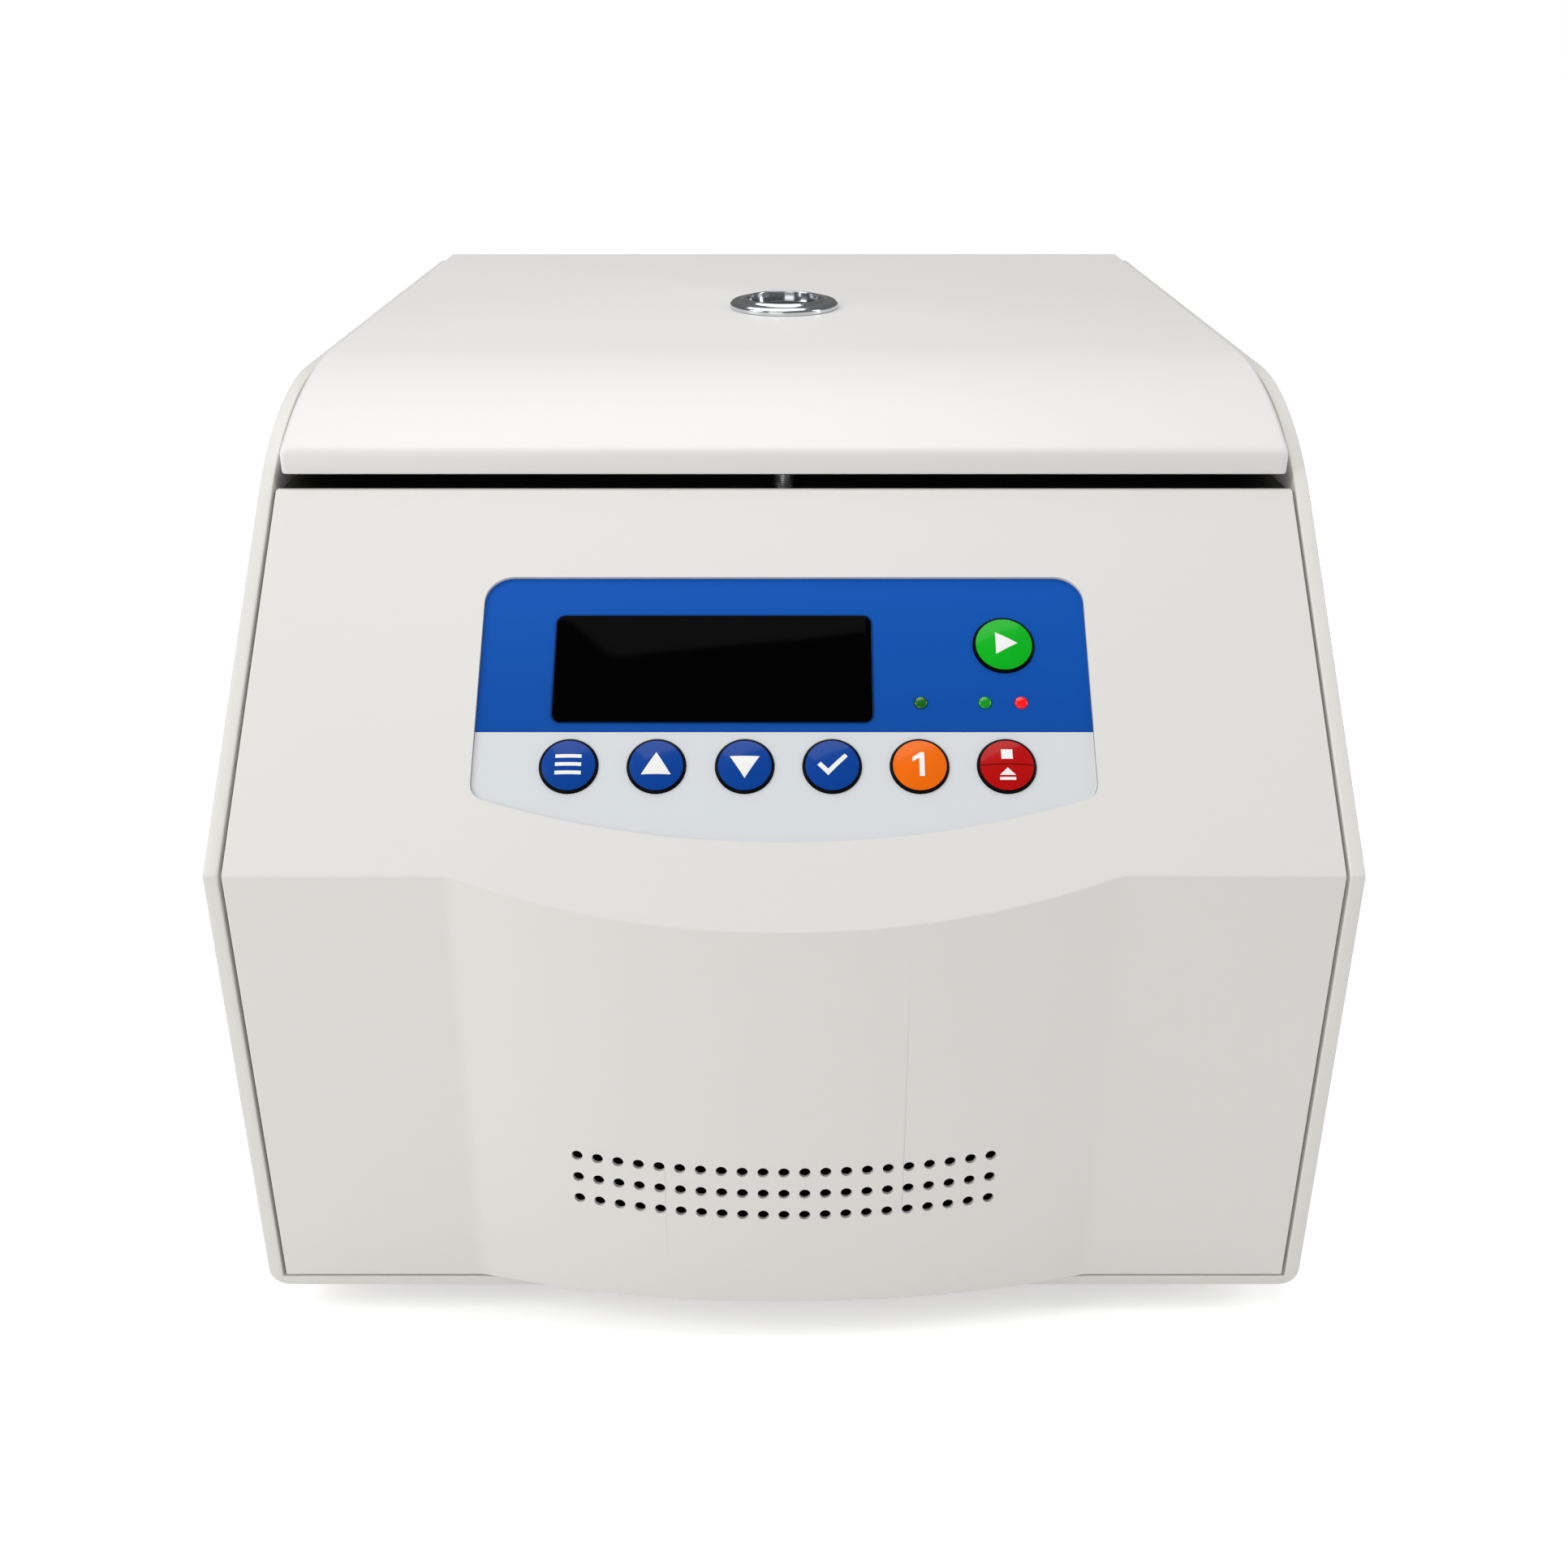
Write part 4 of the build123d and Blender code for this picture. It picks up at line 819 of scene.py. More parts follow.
def build_front_panel():
    """The front moulding: slope, knee, bowed vented middle and the keypad's bed."""
    s = sizes()
    pocket_low, pocket_high, pocket_reach = UNDERSIDE + 38 * MM, UNDERSIDE + 72 * MM, 84 * MM
    piece = bowed_block("front_moulding", 0, PANEL_LOW.z, PANEL_HIGH.z)
    soften(piece, s.edge_round, 4, 12)
    hollow = bowed_block("hollow", s.panel_wall, PANEL_LOW.z + s.panel_wall, PANEL_HIGH.z - s.panel_wall)
    hollow.location.y += 0.5 * MM
    apply_place(hollow)
    cut(piece, hollow)
    behind = bowed_block("behind", 0, PANEL_LOW.z, PANEL_HIGH.z)
    behind.location = (0, s.panel_return, -s.panel_return)
    apply_place(behind)
    cut(piece, behind)
    thin = bowed_block("thin", s.vent_wall, pocket_low, pocket_high)
    enter(thin)
    for side in (-1, 1):
        bisect((side * pocket_reach, 0, 0), (side, 0, 0))
    leave()
    cut(piece, thin)
    bed = seat_on_slope(keypad_block("bed", 0, -s.keypad_recess, 10 * MM))
    cut(piece, bed)
    tools = vent_tools()
    for name in KEYS:
        place = slope_frame() @ Matrix.Translation(slope_place(name))
        tools.append(add_rod("tool", place, key_radius(name) + KEY_GAP, -THROUGH, THROUGH, 48))
    for name in LAMPS:
        place = slope_frame() @ Matrix.Translation(slope_place(name))
        tools.append(add_rod("tool", place, LAMP_HOLE, -THROUGH, THROUGH, 40))
    tools.append(seat_on_slope(window_block("tool", WINDOW_LEDGE, -THROUGH, THROUGH)))
    cut(piece, *tools)
    soften(piece, 0.25 * MM, 2, 50)
    dress(piece, finishes["panel"], "housing", "front_panel", angle=30)
    flatten(piece)
    lend_normals(piece, bowed_block("skin", 0, PANEL_LOW.z, PANEL_HIGH.z))


def build_keypad():
    """The two films in the keypad's bed, the display window and its printed outline."""
    s = sizes()
    bed, face = -s.keypad_recess, -s.keypad_recess + s.film
    film_gap, seam, snug = 0.15 * MM, 0.1 * MM, 0.05 * MM
    for name, node, finish, upper in (
        ("blue_film", "keypad_upper_overlay", "film_blue", True),
        ("pale_film", "keypad_lower_overlay", "film_pale", False),
    ):
        piece = keypad_block(name, film_gap, bed, bed + s.film)
        enter(piece)
        if upper:
            bisect((0, s.keypad_split + seam, 0), (0, -1, 0))
        else:
            bisect((0, s.keypad_split - seam, 0), (0, 1, 0))
        leave()
        tools = []
        for key in KEYS:
            place = slope_place(key)
            if (place.y > s.keypad_split) == upper:
                hole = key_radius(key) + KEY_GAP
                tools.append(add_rod("tool", Matrix.Translation(place), hole, -THROUGH, THROUGH, 64))
        if upper:
            tools.append(window_block("tool", -snug, -THROUGH, THROUGH))
            for lamp in LAMPS:
                place = Matrix.Translation(slope_place(lamp))
                tools.append(add_rod("tool", place, LAMP_HOLE, -THROUGH, THROUGH, 40))
        cut(piece, *tools)
        seat_on_slope(piece)
        soften(piece, 0.12 * MM, 2, 40)
        dress(piece, finishes[finish], "housing", node, angle=20)
        flatten(piece)
    pane = window_block("display_pane", 0.1 * MM, bed, bed + PANE_THICKNESS)
    seat_on_slope(pane)
    soften(pane, 0.3 * MM, 3, 40)
    dress(pane, finishes["window"], "housing", "display_window")
    outline = window_block("display_outline", -OUTLINE_WIDTH, face, face + 0.05 * MM)
    cut(outline, window_block("tool", 0.0, -10 * MM, 10 * MM))
    seat_on_slope(outline)
    dress(outline, finishes["outline"], "housing")


def window_block(name, inset, low, high):
    """The display window's outline as a prism on the slope."""
    left, right, bottom, top = -79.2 * MM, 30.3 * MM, 56.0 * MM, 96.9 * MM
    corner, least_corner = 3 * MM, 0.5 * MM
    piece = add_block(name, (left + inset, bottom + inset, low), (right - inset, top - inset, high))
    enter(piece)
    pick(piece, "EDGE", lambda e: runs_along(e, Z))
    bevel_picked(max(corner - inset, least_corner), math.pi / 2, segments=8)
    leave()
    return piece


def build_lamps():
    """Three small domed lenses that stand just proud of the film."""
    s = sizes()
    face = -s.keypad_recess + s.film
    stem, proud, dome, steps = 5 * MM, 0.15 * MM, 0.7 * MM, 7
    for name, finish in LAMPS.items():
        place = slope_frame() @ Matrix.Translation(slope_place(name))
        profile = [(LAMP_RADIUS, face - stem), (LAMP_RADIUS, face + proud)]
        for step in range(1, steps):
            turn = step / steps * math.pi / 2
            profile.append((LAMP_RADIUS * math.cos(turn), face + proud + dome * math.sin(turn)))
        lens = add_turned(name.replace("lamp", "lens"), place, profile, 40)
        dress(lens, finishes[finish], "housing", name, angle=60)


def dome_profile(radius, edge_height, crown, inset):
    """A key's domed top, from its outer edge to its middle."""
    ball = (radius ** 2 + crown ** 2) / (2 * crown)
    top = edge_height + crown
    steps = 13
    points = []
    for step in range(steps):
        share = 1 - step / steps
        r = (radius - inset) * share
        points.append((r, top - ball + math.sqrt(ball ** 2 - r ** 2)))
    return points


def build_keys():
    """Seven domed keys, each in a black ring of painted shade for the gap round it, with white signs."""
    s = sizes()
    face = -s.keypad_recess + s.film
    edge, crown, overlap = 0.7 * MM, 1.4 * MM, 0.02 * MM
    under = -s.panel_wall - 0.3 * MM
    for name, (finish, body) in KEYS.items():
        place = slope_frame() @ Matrix.Translation(slope_place(name))
        radius = key_radius(name)
        inner = radius - s.gap_shade_ring_width
        dome = dome_profile(radius, face + edge, crown, s.gap_shade_ring_width)
        top = dome[0][1]
        flange = radius + KEY_FLANGE
        stem = [(flange, under - 1.2 * MM), (flange, under), (inner, under), (inner, top - 0.1 * MM)]
        cap = add_turned(body + "_cap", place, stem + dome, 72)
        dress(cap, finishes[finish], body, name, angle=50)
        # Painted shade: a black ring round the key stands in for the dark gap between key and film.
        gap_shade_ring_profile = [
            (inner + overlap, under), (radius, under), (radius, face + edge - 0.25 * MM),
            (radius - 0.12 * MM, face + edge), (radius - 0.3 * MM, face + edge + 0.12 * MM),
            (inner + overlap, top + 0.04 * MM), (inner + overlap, under),
        ]
        rim = add_turned(body + "_rim", place, gap_shade_ring_profile, 72)
        dress(rim, finishes["black_print_and_gap_shade"], body, angle=40)
        build_sign(body, place, cap)


def flat_polygon(name, corners):
    """A flat shape from its corners: a plane primitive is shrunk to a point and grown along them."""
    bpy.ops.object.select_all(action="DESELECT")
    bpy.ops.mesh.primitive_plane_add(size=1 * MM)
    piece = named(bpy.context.object, name)
    enter(piece)
    bpy.ops.mesh.select_all(action="SELECT")
    bpy.ops.mesh.merge(type="CENTER")
    bpy.ops.mesh.select_all(action="SELECT")
    first = Vector(corners[0])
    bpy.ops.transform.translate(value=(first.x * MM, first.y * MM, 0))
    for corner, following in zip(corners, corners[1:]):
        step = Vector(following) - Vector(corner)
        bpy.ops.mesh.extrude_vertices_move(TRANSFORM_OT_translate={"value": (step.x * MM, step.y * MM, 0)})
    bpy.ops.mesh.select_all(action="SELECT")
    bpy.ops.mesh.edge_face_add()
    leave()
    return piece


def bar(x0, y0, x1, y1):
    return [(x0, y0), (x1, y0), (x1, y1), (x0, y1)]


# Plain signs, in millimetres: play, menu lines, arrows, a tick, the figure one, and a square over an
# eject mark.
SIGNS = {
    "start_key": [[(-3.0, -4.2), (4.6, 0), (-3.0, 4.2)]],
    "set_key": [bar(-4.4, y - 0.65, 4.4, y + 0.65) for y in (-3.0, 0.0, 3.0)],
    "up_key": [[(-5.0, -3.6), (5.0, -3.6), (0, 4.4)]],
    "down_key": [[(-5.0, 3.0), (0, -5.0), (5.0, 3.0)]],
    "ok_key": [[(-5.0, -0.2), (-3.9, 0.9), (-1.4, -1.7), (4.2, 4.0), (5.2, 2.9), (-1.4, -4.0)]],
    "preset_key": [
        [(-0.2, -4.3), (1.5, -4.3), (1.5, 4.4), (0.2, 4.4), (-2.5, 2.5), (-2.5, 1.0), (-0.2, 2.3)],
    ],
    "stop_key": [
        bar(-1.9, 1.9, 1.9, 5.5), [(-2.7, -3.9), (2.7, -3.9), (0, -1.3)], bar(-2.7, -5.6, 2.7, -4.6),
    ],
}


def print_on(key, shape, place, finish, body, name):
    """Lays a flat shape on a key's dome as a thin layer of ink."""
    above_dome, ink, lift = 6 * MM, 0.05 * MM, 0.03 * MM
    enter(shape)
    bpy.ops.mesh.select_all(action="SELECT")
    bpy.ops.mesh.quads_convert_to_tris()
    bpy.ops.mesh.subdivide(number_cuts=5)
    leave()
    shape.matrix_world = place @ Matrix.Translation((0, 0, above_dome))
    apply_modifier(
        shape, "SHRINKWRAP", target=key, wrap_method="PROJECT", use_project_z=True,
        use_negative_direction=True, use_positive_direction=False, offset=lift,
    )
    apply_modifier(shape, "SOLIDIFY", thickness=ink, offset=0.0)
    apply_place(shape)
    named(shape, name)
    dress(shape, finishes[finish], body, angle=40)


def build_sign(body, place, cap):
    """A key's sign, and the dark line across the stop key."""
    shape = joined("sign", [flat_polygon("sign", corners) for corners in SIGNS[body]])
    print_on(cap, shape, place, "ink", body, body + "_sign")
    if body == "stop_key":
        line = flat_polygon("line", bar(-9.0, -0.12, 9.0, 0.12))
        print_on(cap, line, place, "black_print_and_gap_shade", body, body + "_split")


# Lid.


def lid_block(name, inset, low):
    """The lid's side profile as a block: upright lip, big front curve and long roof."""
    s = sizes()
    front = LID_LOW.y + inset
    rear = LID_HIGH.y - inset
    half = LID_HIGH.x - inset
    lip = LID_LOW.z + s.lip_height - inset / math.cos(s.lid_front_angle) + inset * math.tan(s.lid_front_angle)
    piece = add_block(name, (-half, front, low), (half, rear, LID_HIGH.z + 20 * MM))
    enter(piece)
    bisect((0, front, lip), tilted(s.lid_front_angle))
    roof = at(0, 0, roof_at(0)) - Vector((0, 0, inset))
    bisect(roof, tilted(s.roof_pitch))
    rise = math.tan(s.lid_front_angle) - math.tan(s.roof_pitch)
    peak = (roof.z + (front - roof.y) * math.tan(s.roof_pitch) - lip) / rise
    pick(piece, "EDGE", lambda e: near(middle(e).y, front + peak, 0.2 * MM) and runs_along(e, X))
    bevel_picked(s.lid_front_radius - inset, s.lid_front_angle - s.roof_pitch, segments=36)
    pick(piece, "EDGE", lambda e: near(middle(e).y, front) and near(middle(e).z, lip) and runs_along(e, X))
    bevel_picked(max(s.lip_corner - inset, 1 * MM), math.pi / 2 - s.lid_front_angle, segments=8)
    leave()
    return piece


def sight_frame():
    """The middle of the sight glass on the roof."""
    low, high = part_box("sight_glass_bezel")
    return roof_frame((low.y + high.y) / 2 - FRONT)


def on_long_edge(edge):
    """Whether an edge lies along one of the lid's two long upper sides."""
    place = middle(edge)
    beside = near(abs(place.x), LID_HIGH.x)
    return beside and place.z > LID_LOW.z + sizes().lip_height / 3 and place.y < LID_HIGH.y - 0.1 * MM


def build_lid():
    """The lid's shell, its sight hole and the two notches over the hinges."""
    s = sizes()
    hinge_x, notch_half, notch_deep, sight_hole = 110 * MM, 16.3 * MM, 9 * MM, 19 * MM
    notch_top = UNDERSIDE + 297 * MM
    piece = lid_block("lid_shell", 0, LID_LOW.z)
    enter(piece)
    pick(piece, "EDGE", on_long_edge)
    bevel_picked(s.lid_edge, math.pi / 2, segments=6)
    leave()
    soften(piece, 0.6 * MM, 3, 60)
    hollow = lid_block("hollow", s.lid_wall, LID_LOW.z - 20 * MM)
    cut(piece, hollow)
    tools = []
    for side in (-1, 1):
        centre = side * hinge_x
        tools.append(add_block(
            "tool", (centre - notch_half, LID_HIGH.y - notch_deep, LID_LOW.z - 1 * MM),
            (centre + notch_half, LID_HIGH.y + 1 * MM, notch_top),
        ))
    tools.append(add_rod("tool", sight_frame(), sight_hole, -50 * MM, 30 * MM, 64))
    cut(piece, *tools)
    dress(piece, finishes["lid"], "lid", "lid_cover", angle=30)


def rounded(points, radius, steps=4):
    """Profile points with each inner corner cut by a small arc of about that radius."""
    result = [points[0]]
    for before, corner, after in zip(points, points[1:], points[2:]):
        a, b, c = Vector(before), Vector(corner), Vector(after)
        back = min(radius, (a - b).length / 2.2)
        ahead = min(radius, (c - b).length / 2.2)
        start = b + (a - b).normalized() * back
        end = b + (c - b).normalized() * ahead
        for step in range(steps + 1):
            share = step / steps
            point = start.lerp(b, share).lerp(b.lerp(end, share), share)
            result.append((point.x, point.y))
    result.append(points[-1])
    return result


def build_sight_glass():
    """The chromed bezel on the lid and the smoked glass in it."""
    low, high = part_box("sight_glass_bezel")
    place = sight_frame()
    bore, outer, depth = 16.7 * MM, (high.x - low.x) / 2, 31 * MM
    ledge, sleeve, top, sunk = 1.5 * MM, 2 * MM, 4.3 * MM, 4 * MM
    ring = [
        (bore - ledge, -depth), (bore + sleeve, -depth), (bore + sleeve, 0), (outer, 0), (outer, 1.9 * MM),
        (outer - 1.3 * MM, 3.1 * MM), (bore + 2.9 * MM, 3.3 * MM), (bore + 1.7 * MM, top), (bore, top),
        (bore, -sunk), (bore - ledge, -sunk), (bore - ledge, -depth),
    ]
    profile = rounded(ring, 0.45 * MM)
    bezel = add_turned("sight_bezel", place, profile, 128)
    dress(bezel, finishes["chrome"], "lid", "sight_glass_bezel", angle=40)
    rim, crown, sag, steps = bore - 0.1 * MM, 2.3 * MM, 0.7 * MM, 9
    glass = [(rim, -3.95 * MM), (rim, 1.6 * MM)]
    for step in range(1, steps):
        radius = rim * (1 - step / steps)
        glass.append((radius, crown - sag * (radius / bore) ** 2))
    pane = add_turned("sight_glass", place, glass, 128)
    dress(pane, finishes["glass"], "lid", "sight_glass_window", angle=40)


def build_striker():
    """The bright pin that hangs under the lid's lip, threaded where it meets the lid."""
    low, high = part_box("striker_post")
    place = Matrix.Translation(((low.x + high.x) / 2, (low.y + high.y) / 2, low.z))
    length = high.z - low.z
    tip, radius, neck, nut = 2.7 * MM, 3.9 * MM, 2.2 * MM, 5.6 * MM
    groove_low, groove_high = 3 * MM, 9 * MM
    thread, pitch, root = 12 * MM, 0.8 * MM, 0.35 * MM
    profile = [(tip, 0), (radius, 1.2 * MM), (radius, groove_low), (neck, groove_low)]
    profile += [(neck, groove_high), (radius, groove_high), (radius, thread)]
    while thread < length - 2 * pitch:
        profile.append((radius - root, thread + pitch / 2))
        profile.append((radius, thread + pitch))
        thread += pitch
    profile += [(nut, length - pitch), (nut, length), (1 * MM, length)]
    pin = add_turned("striker_pin", place, profile, 48)
    dress(pin, finishes["turned"], "lid", "striker_post", angle=30)


# Inner parts, turned or softened.


def upright(x, y):
    return Matrix.Translation((x, y, 0))


def box_axis(low, high):
    """The upright axis through the middle of a box."""
    return upright((low.x + high.x) / 2, (low.y + high.y) / 2)


def arc_points(centre, radius, first, last, steps):
    """Profile points round part of a circle, in degrees from level."""
    points = []
    for step in range(steps + 1):
        turn = math.radians(first + (last - first) * step / steps)
        points.append((centre[0] + radius * math.cos(turn), centre[1] + radius * math.sin(turn)))
    return points


def build_chamber():
    """The spun bowl with its rolled rim, and the rubber seal on it."""
    s = sizes()
    low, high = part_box("chamber_bowl")
    place = box_axis(low, high)
    wall, corner, hub, roll = 1.2 * MM, 22 * MM, 30 * MM, 2 * MM
    rim = (high.x - low.x) / 2
    floor = low.z + wall
    bend = (s.bowl_radius - corner, floor + corner)
    lip = (s.bowl_radius + roll, high.z - roll)
    inside = [(hub, floor)] + arc_points(bend, corner, -90, 0, 12)
    inside += arc_points(lip, roll, 180, 90, 6) + [(rim, high.z)]
    outside = [(rim, high.z - wall)]
    outside += arc_points(lip, roll - wall, 90, 180, 4)
    outside += arc_points(bend, corner + wall, 0, -90, 12) + [(hub, low.z), (hub, floor)]
    bowl = add_turned("spun_bowl", place, inside + outside, 128)
    dress(bowl, finishes["bowl"], "housing", "chamber_bowl", angle=40)
    low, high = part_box("chamber_seal")
    inner, outer = s.bowl_radius + 2.2 * MM, (high.x - low.x) / 2
    bead_radius = (outer - inner) / 2
    crest = ((inner + outer) / 2, high.z - bead_radius)
    bead = [(inner, low.z), (outer, low.z)] + arc_points(crest, bead_radius, 0, 180, 12) + [(inner, low.z)]
    seal = add_turned("seal_ring", place, bead, 128)
    dress(seal, finishes["rubber"], "housing", "chamber_seal", angle=60)


def build_rotor_cap():
    """The turned rotor lid and its fluted knob."""
    low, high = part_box("rotor_lid")
    place = box_axis(low, high)
    rim = (high.x - low.x) / 2
    bore, boss = 4.5 * MM, 19 * MM
    top = [(bore, low.z), (rim, low.z), (rim, low.z + 2 * MM), (rim - 3 * MM, low.z + 4.2 * MM)]
    top += [(boss, high.z), (bore, high.z), (bore, low.z)]
    disc = add_turned("rotor_cap_disc", place, rounded(top, 0.6 * MM), 128)
    dress(disc, finishes["rotor"], "rotor_cap", "rotor_lid", angle=30)
    low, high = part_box("rotor_knob")
    radius, chamfer, flute_count, flute_radius, flute_ring = 15 * MM, 2 * MM, 8, 3 * MM, 16 * MM
    shape = [(bore, low.z), (radius, low.z), (radius, high.z - chamfer), (radius - chamfer, high.z)]
    shape += [(bore, high.z), (bore, low.z)]
    knob = add_turned("rotor_cap_knob", place, rounded(shape, 0.8 * MM), 96)
    centre = place.translation
    flutes = []
    for number in range(flute_count):
        turn = math.radians(360 / flute_count * number)
        flute = centre + Vector((math.cos(turn), math.sin(turn), 0)) * flute_ring
        axis = upright(flute.x, flute.y)
        flutes.append(add_rod("tool", axis, flute_radius, low.z + 3 * MM, high.z + 5 * MM, 32))
    cut(knob, *flutes)
    soften(knob, 0.4 * MM, 3, 40)
    dress(knob, finishes["dark"], "rotor_cap", "rotor_knob", angle=40)


def build_feet():
    """Four moulded feet: one is turned, and copied to the other corners."""
    low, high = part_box("rubber_feet")
    sink, edge = 6.6 * MM, FOOT_RADIUS - 3.5 * MM
    ledge = low.z + (high.z - low.z) / 2
    shape = [
        (FOOT_SCREW, high.z), (FOOT_RADIUS, high.z), (FOOT_RADIUS - 2.5 * MM, low.z + 1 * MM),
        (edge, low.z), (sink, low.z), (sink, ledge), (FOOT_SCREW, ledge), (FOOT_SCREW, high.z),
    ]
    near_x, near_y = low.x + FOOT_RADIUS, low.y + FOOT_RADIUS
    far_x, far_y = high.x - FOOT_RADIUS, high.y - FOOT_RADIUS
    first = add_turned("foot_1", upright(near_x, near_y), rounded(shape, 0.7 * MM), 64)
    for number, (x, y) in enumerate(((far_x, near_y), (near_x, far_y), (far_x, far_y)), 2):
        foot = first.copy()
        foot.data = first.data.copy()
        bpy.context.scene.collection.objects.link(foot)
        named(foot, f"foot_{number}")
        foot.location = (x - low.x - FOOT_RADIUS, y - low.y - FOOT_RADIUS, 0)
        apply_place(foot)
        dress(foot, finishes["rubber"], "housing", angle=50)
    dress(first, finishes["rubber"], "housing", "rubber_feet", angle=50)


SOFTENED = (
    ("top_deck", "deck_sheet", 0.5, "deck", "housing"),
    ("lid_liner", "liner_sheet", 0.6, "deck", "lid"),
    ("hinge_arms", "arm_plates", 0.5, "steel", "lid"),
    ("hinge_brackets", "bracket_ears", 0.4, "steel", "housing"),
    ("hinge_beam", "beam_tube", 0.6, "steel", "housing"),
    ("back_panel", "back_sheet", 0.25, "case", "housing"),
    ("rear_screws", "back_screws", 0.35, "steel", "housing"),
    ("fan_frame", "fan_housing", 0.35, "dark", "housing"),
    ("fan_impeller", "fan_rotor", 0.2, "dark", "fan_wheel"),
    ("power_inlet", "inlet_body", 0.35, "dark", "housing"),
    ("fuse_drawer", "fuse_tray", 0.3, "dark", "fuse_holder"),
    ("switch_frame", "switch_bezel", 0.35, "dark", "housing"),
    ("power_rocker", "rocker_cap", 0.35, "dark", "rocker"),
    ("rotor", "rotor_block", 0.6, "rotor", "rotor_spindle"),
    ("lock_housing", "lock_case", 0.5, "dark", "housing"),
    ("lock_bolt", "bolt_plate", 0.2, "turned", "lock_slide"),
)


def softened_copy(node, name, radius, finish, body):
    """A copy of a part with its edges rounded a little."""
    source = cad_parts[node]
    piece = source.copy()
    piece.data = source.data.copy()
    for key in list(piece.keys()):
        del piece[key]
    place = source.matrix_world.copy()
    piece.parent = None
    bpy.context.scene.collection.objects.link(piece)
    piece.matrix_world = place
    apply_place(piece)
    named(piece, name)
    enter(piece)
    merge_points(0.005 * MM)
    bpy.ops.mesh.dissolve_limited(angle_limit=math.radians(0.8))
    bpy.ops.mesh.select_all(action="SELECT")
    bpy.ops.mesh.normals_make_consistent(inside=False)
    leave()
    soften(piece, radius * MM, 2, 40)
    dress(piece, finishes[finish], body, node, angle=30)
    flatten(piece)


def build_softened():
    """The sheet, moulded and milled parts, each with its edges broken."""
    for node, name, radius, finish, body in SOFTENED:
        softened_copy(node, name, radius, finish, body)


def finish_parts():
    """Gives every part that stays as it is the finish of its real material."""
    for finish, nodes in CAD_FINISHES.items():
        for name in nodes:
            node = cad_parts[name]
            node.data.materials.clear()
            node.data.materials.append(finishes[finish])


# Studio.


# Each soft lamp: its name, place, power, width and height. All are aimed at one point.
SOFTBOXES = (
    ("overhead", (-0.2, 0.35, 1.9), 16, 1.5, 1.5),
    ("key", (-1.7, -0.7, 1.3), 14, 0.8, 1.2),
    ("rim", (1.6, -0.3, 1.0), 6, 0.25, 1.2),
    ("front", (-0.7, -2.2, 0.5), 8, 1.2, 0.9),
)
LAMPS_AIM = (0, -0.05, 0.18)


def choose(tree, ray, otherwise, chosen):
    """Shows one shader to rays of a kind, and another to the rest."""
    seen = add_node(tree, "ShaderNodeLightPath")
    mix = add_node(
        tree, "ShaderNodeMixShader", {0: seen.outputs[ray], 1: otherwise.outputs[0], 2: chosen.outputs[0]}
    )
    return mix


def build_floor():
    """A pale matt floor that brightens to white far out, for the camera only."""
    bpy.ops.object.select_all(action="DESELECT")
    bpy.ops.mesh.primitive_plane_add(size=14, location=(0, 2, 0))
    floor = named(bpy.context.object, "floor")
    apply_place(floor)
    material, tree, shader, place = new_finish("matt_studio_board", Roughness=0.9, Specular_IOR_Level=0.0)
    mottle(tree, shader, place, colours().floor, 0.8, 0.004)
    away = add_node(tree, "ShaderNodeVectorMath", {0: place}, operation="LENGTH").outputs["Value"]
    lit_by_distance = add_node(
        tree, "ShaderNodeMapRange",
        {"Value": away, "From Min": 0.25, "From Max": 1.1, "To Min": 0.42, "To Max": 1.0},
    )
    glow = add_node(tree, "ShaderNodeEmission", {"Strength": lit_by_distance.outputs["Result"]})
    unlit = add_node(tree, "ShaderNodeEmission", {"Strength": 0.0})
    lift = choose(tree, "Is Camera Ray", unlit, glow)
    total = add_node(tree, "ShaderNodeAddShader", {0: shader.outputs[0], 1: lift.outputs[0]})
    tree.links.new(total.outputs[0], tree.nodes["Material Output"].inputs["Surface"])
    floor.data.materials.append(material)


def build_surround():
    """An even white light all round, dimmer in reflections and full white behind the object."""
    world = bpy.data.worlds.new("white_surround")
    world.use_nodes = True
    bpy.context.scene.world = world
    tree = world.node_tree
    white = (1, 1, 1, 1)
    soft = tree.nodes["Background"]
    soft.inputs["Color"].default_value = white
    soft.inputs["Strength"].default_value = 0.40
    dim = add_node(tree, "ShaderNodeBackground", {"Color": white, "Strength": 0.16})
    full = add_node(tree, "ShaderNodeBackground", {"Color": white, "Strength": 1.0})
    mirrored = choose(tree, "Is Glossy Ray", soft, dim)
    mix = choose(tree, "Is Camera Ray", mirrored, full)
    tree.links.new(mix.outputs[0], tree.nodes["World Output"].inputs["Surface"])


def build_stage():
    """A pale floor, a white surround, four soft lamps and the camera."""
    build_floor()
    build_surround()
    for name, place, power, width, height in SOFTBOXES:
        bpy.ops.object.light_add(type="AREA", location=place)
        lamp = bpy.context.object
        lamp.name = name + "_softbox"
        lamp.data.shape = "RECTANGLE"
        lamp.data.energy = power
        lamp.data.size = width
        lamp.data.size_y = height
        aim = Vector(LAMPS_AIM) - Vector(place)
        lamp.rotation_euler = aim.to_track_quat("-Z", "Y").to_euler()
    build_camera()


def build_camera():
    """The camera stands where the photograph was taken from."""
    lens_pixels, picture_pixels, sensor = 2000.0, 1932.0, 36.0
    pitch, station, height = math.radians(24.87), -467.58 * MM, 421.23 * MM
    data = bpy.data.cameras.new("camera")
    data.sensor_width = sensor
    data.lens = lens_pixels / picture_pixels * sensor
    camera = bpy.data.objects.new("camera", data)
    bpy.context.scene.collection.objects.link(camera)
    camera.location = at(0, station, height)
    camera.rotation_euler = (math.pi / 2 - pitch, 0, 0)
    bpy.context.scene.camera = camera
    bpy.context.scene.view_settings.view_transform = "Standard"


class CENTRIFUGE_OT_finishes(bpy.types.Operator):
    """Mixes every material."""

    bl_idname = "centrifuge.finishes"
    bl_label = "Finishes"

    def execute(self, context):
        make_finishes()
        return {"FINISHED"}


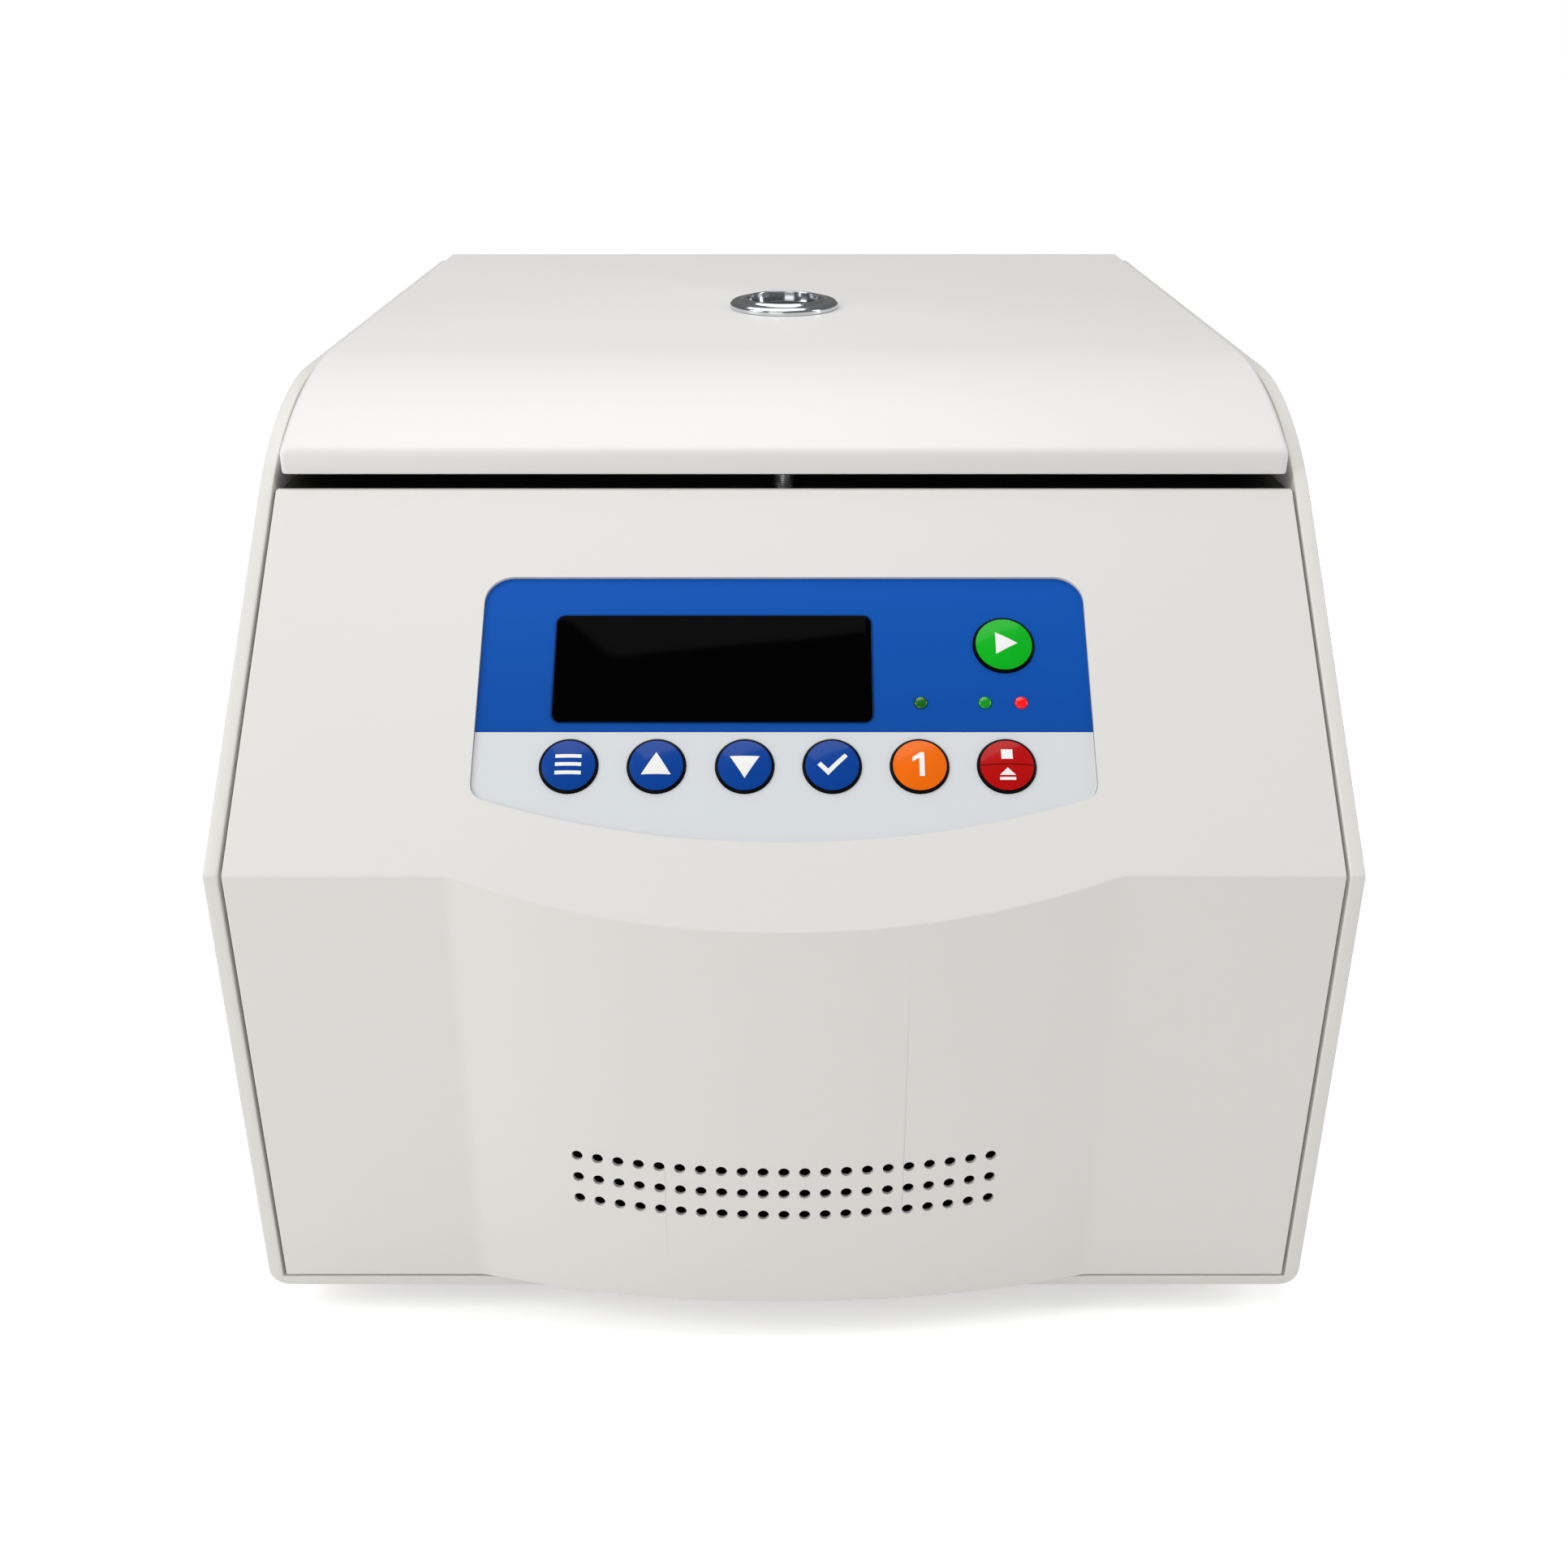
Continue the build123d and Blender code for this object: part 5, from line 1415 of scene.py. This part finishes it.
class CENTRIFUGE_OT_parts(bpy.types.Operator):
    """Finishes the parts that keep their shape."""

    bl_idname = "centrifuge.parts"
    bl_label = "Parts"

    def execute(self, context):
        finish_parts()
        return {"FINISHED"}


class CENTRIFUGE_OT_case(bpy.types.Operator):
    """Models the case's wrap."""

    bl_idname = "centrifuge.case"
    bl_label = "Case"

    def execute(self, context):
        build_case()
        return {"FINISHED"}


class CENTRIFUGE_OT_front_panel(bpy.types.Operator):
    """Models the front moulding."""

    bl_idname = "centrifuge.front_panel"
    bl_label = "Front panel"

    def execute(self, context):
        build_front_panel()
        return {"FINISHED"}


class CENTRIFUGE_OT_keypad(bpy.types.Operator):
    """Models the keypad films and the display window."""

    bl_idname = "centrifuge.keypad"
    bl_label = "Keypad"

    def execute(self, context):
        build_keypad()
        return {"FINISHED"}


class CENTRIFUGE_OT_lamps(bpy.types.Operator):
    """Models the three lamps."""

    bl_idname = "centrifuge.lamps"
    bl_label = "Lamps"

    def execute(self, context):
        build_lamps()
        return {"FINISHED"}


class CENTRIFUGE_OT_keys(bpy.types.Operator):
    """Models the seven keys and their signs."""

    bl_idname = "centrifuge.keys"
    bl_label = "Keys"

    def execute(self, context):
        build_keys()
        return {"FINISHED"}


class CENTRIFUGE_OT_lid(bpy.types.Operator):
    """Models the lid's shell."""

    bl_idname = "centrifuge.lid"
    bl_label = "Lid"

    def execute(self, context):
        build_lid()
        return {"FINISHED"}


class CENTRIFUGE_OT_sight_glass(bpy.types.Operator):
    """Models the bezel and its glass."""

    bl_idname = "centrifuge.sight_glass"
    bl_label = "Sight glass"

    def execute(self, context):
        build_sight_glass()
        return {"FINISHED"}


class CENTRIFUGE_OT_striker(bpy.types.Operator):
    """Models the pin under the lid."""

    bl_idname = "centrifuge.striker"
    bl_label = "Striker pin"

    def execute(self, context):
        build_striker()
        return {"FINISHED"}


class CENTRIFUGE_OT_chamber(bpy.types.Operator):
    """Models the bowl and its seal."""

    bl_idname = "centrifuge.chamber"
    bl_label = "Chamber"

    def execute(self, context):
        build_chamber()
        return {"FINISHED"}


class CENTRIFUGE_OT_rotor_cap(bpy.types.Operator):
    """Models the rotor's lid and knob."""

    bl_idname = "centrifuge.rotor_cap"
    bl_label = "Rotor cap"

    def execute(self, context):
        build_rotor_cap()
        return {"FINISHED"}


class CENTRIFUGE_OT_feet(bpy.types.Operator):
    """Models the rubber feet."""

    bl_idname = "centrifuge.feet"
    bl_label = "Feet"

    def execute(self, context):
        build_feet()
        return {"FINISHED"}


class CENTRIFUGE_OT_softened(bpy.types.Operator):
    """Breaks the edges of the sheet, moulded and milled parts."""

    bl_idname = "centrifuge.softened"
    bl_label = "Softened parts"

    def execute(self, context):
        build_softened()
        return {"FINISHED"}


class CENTRIFUGE_OT_stage(bpy.types.Operator):
    """Sets the floor, the surround, the lamps and the camera."""

    bl_idname = "centrifuge.stage"
    bl_label = "Stage"

    def execute(self, context):
        build_stage()
        return {"FINISHED"}


STEPS = (
    CENTRIFUGE_OT_finishes,
    CENTRIFUGE_OT_parts,
    CENTRIFUGE_OT_case,
    CENTRIFUGE_OT_front_panel,
    CENTRIFUGE_OT_keypad,
    CENTRIFUGE_OT_lamps,
    CENTRIFUGE_OT_keys,
    CENTRIFUGE_OT_lid,
    CENTRIFUGE_OT_sight_glass,
    CENTRIFUGE_OT_striker,
    CENTRIFUGE_OT_chamber,
    CENTRIFUGE_OT_rotor_cap,
    CENTRIFUGE_OT_feet,
    CENTRIFUGE_OT_softened,
    CENTRIFUGE_OT_stage,
)


class CENTRIFUGE_PT_panel(bpy.types.Panel):
    """Lists the steps in the sidebar."""

    bl_label = "Centrifuge"
    bl_idname = "CENTRIFUGE_PT_panel"
    bl_space_type = "VIEW_3D"
    bl_region_type = "UI"
    bl_category = "Centrifuge"

    def draw(self, context):
        for step in STEPS:
            self.layout.operator(step.bl_idname)


CLASSES = (CentrifugeSizes, CentrifugeColours, *STEPS, CENTRIFUGE_PT_panel)


def register():
    for item in CLASSES:
        bpy.utils.register_class(item)
    bpy.types.Scene.centrifuge_sizes = bpy.props.PointerProperty(type=CentrifugeSizes)
    bpy.types.Scene.centrifuge_colours = bpy.props.PointerProperty(type=CentrifugeColours)


def unregister():
    del bpy.types.Scene.centrifuge_colours
    del bpy.types.Scene.centrifuge_sizes
    for item in reversed(CLASSES):
        bpy.utils.unregister_class(item)


def main():
    register()
    for step in STEPS:
        name = step.bl_idname.split(".")[1]
        getattr(bpy.ops.centrifuge, name)()


if __name__ == "__main__":
    main()
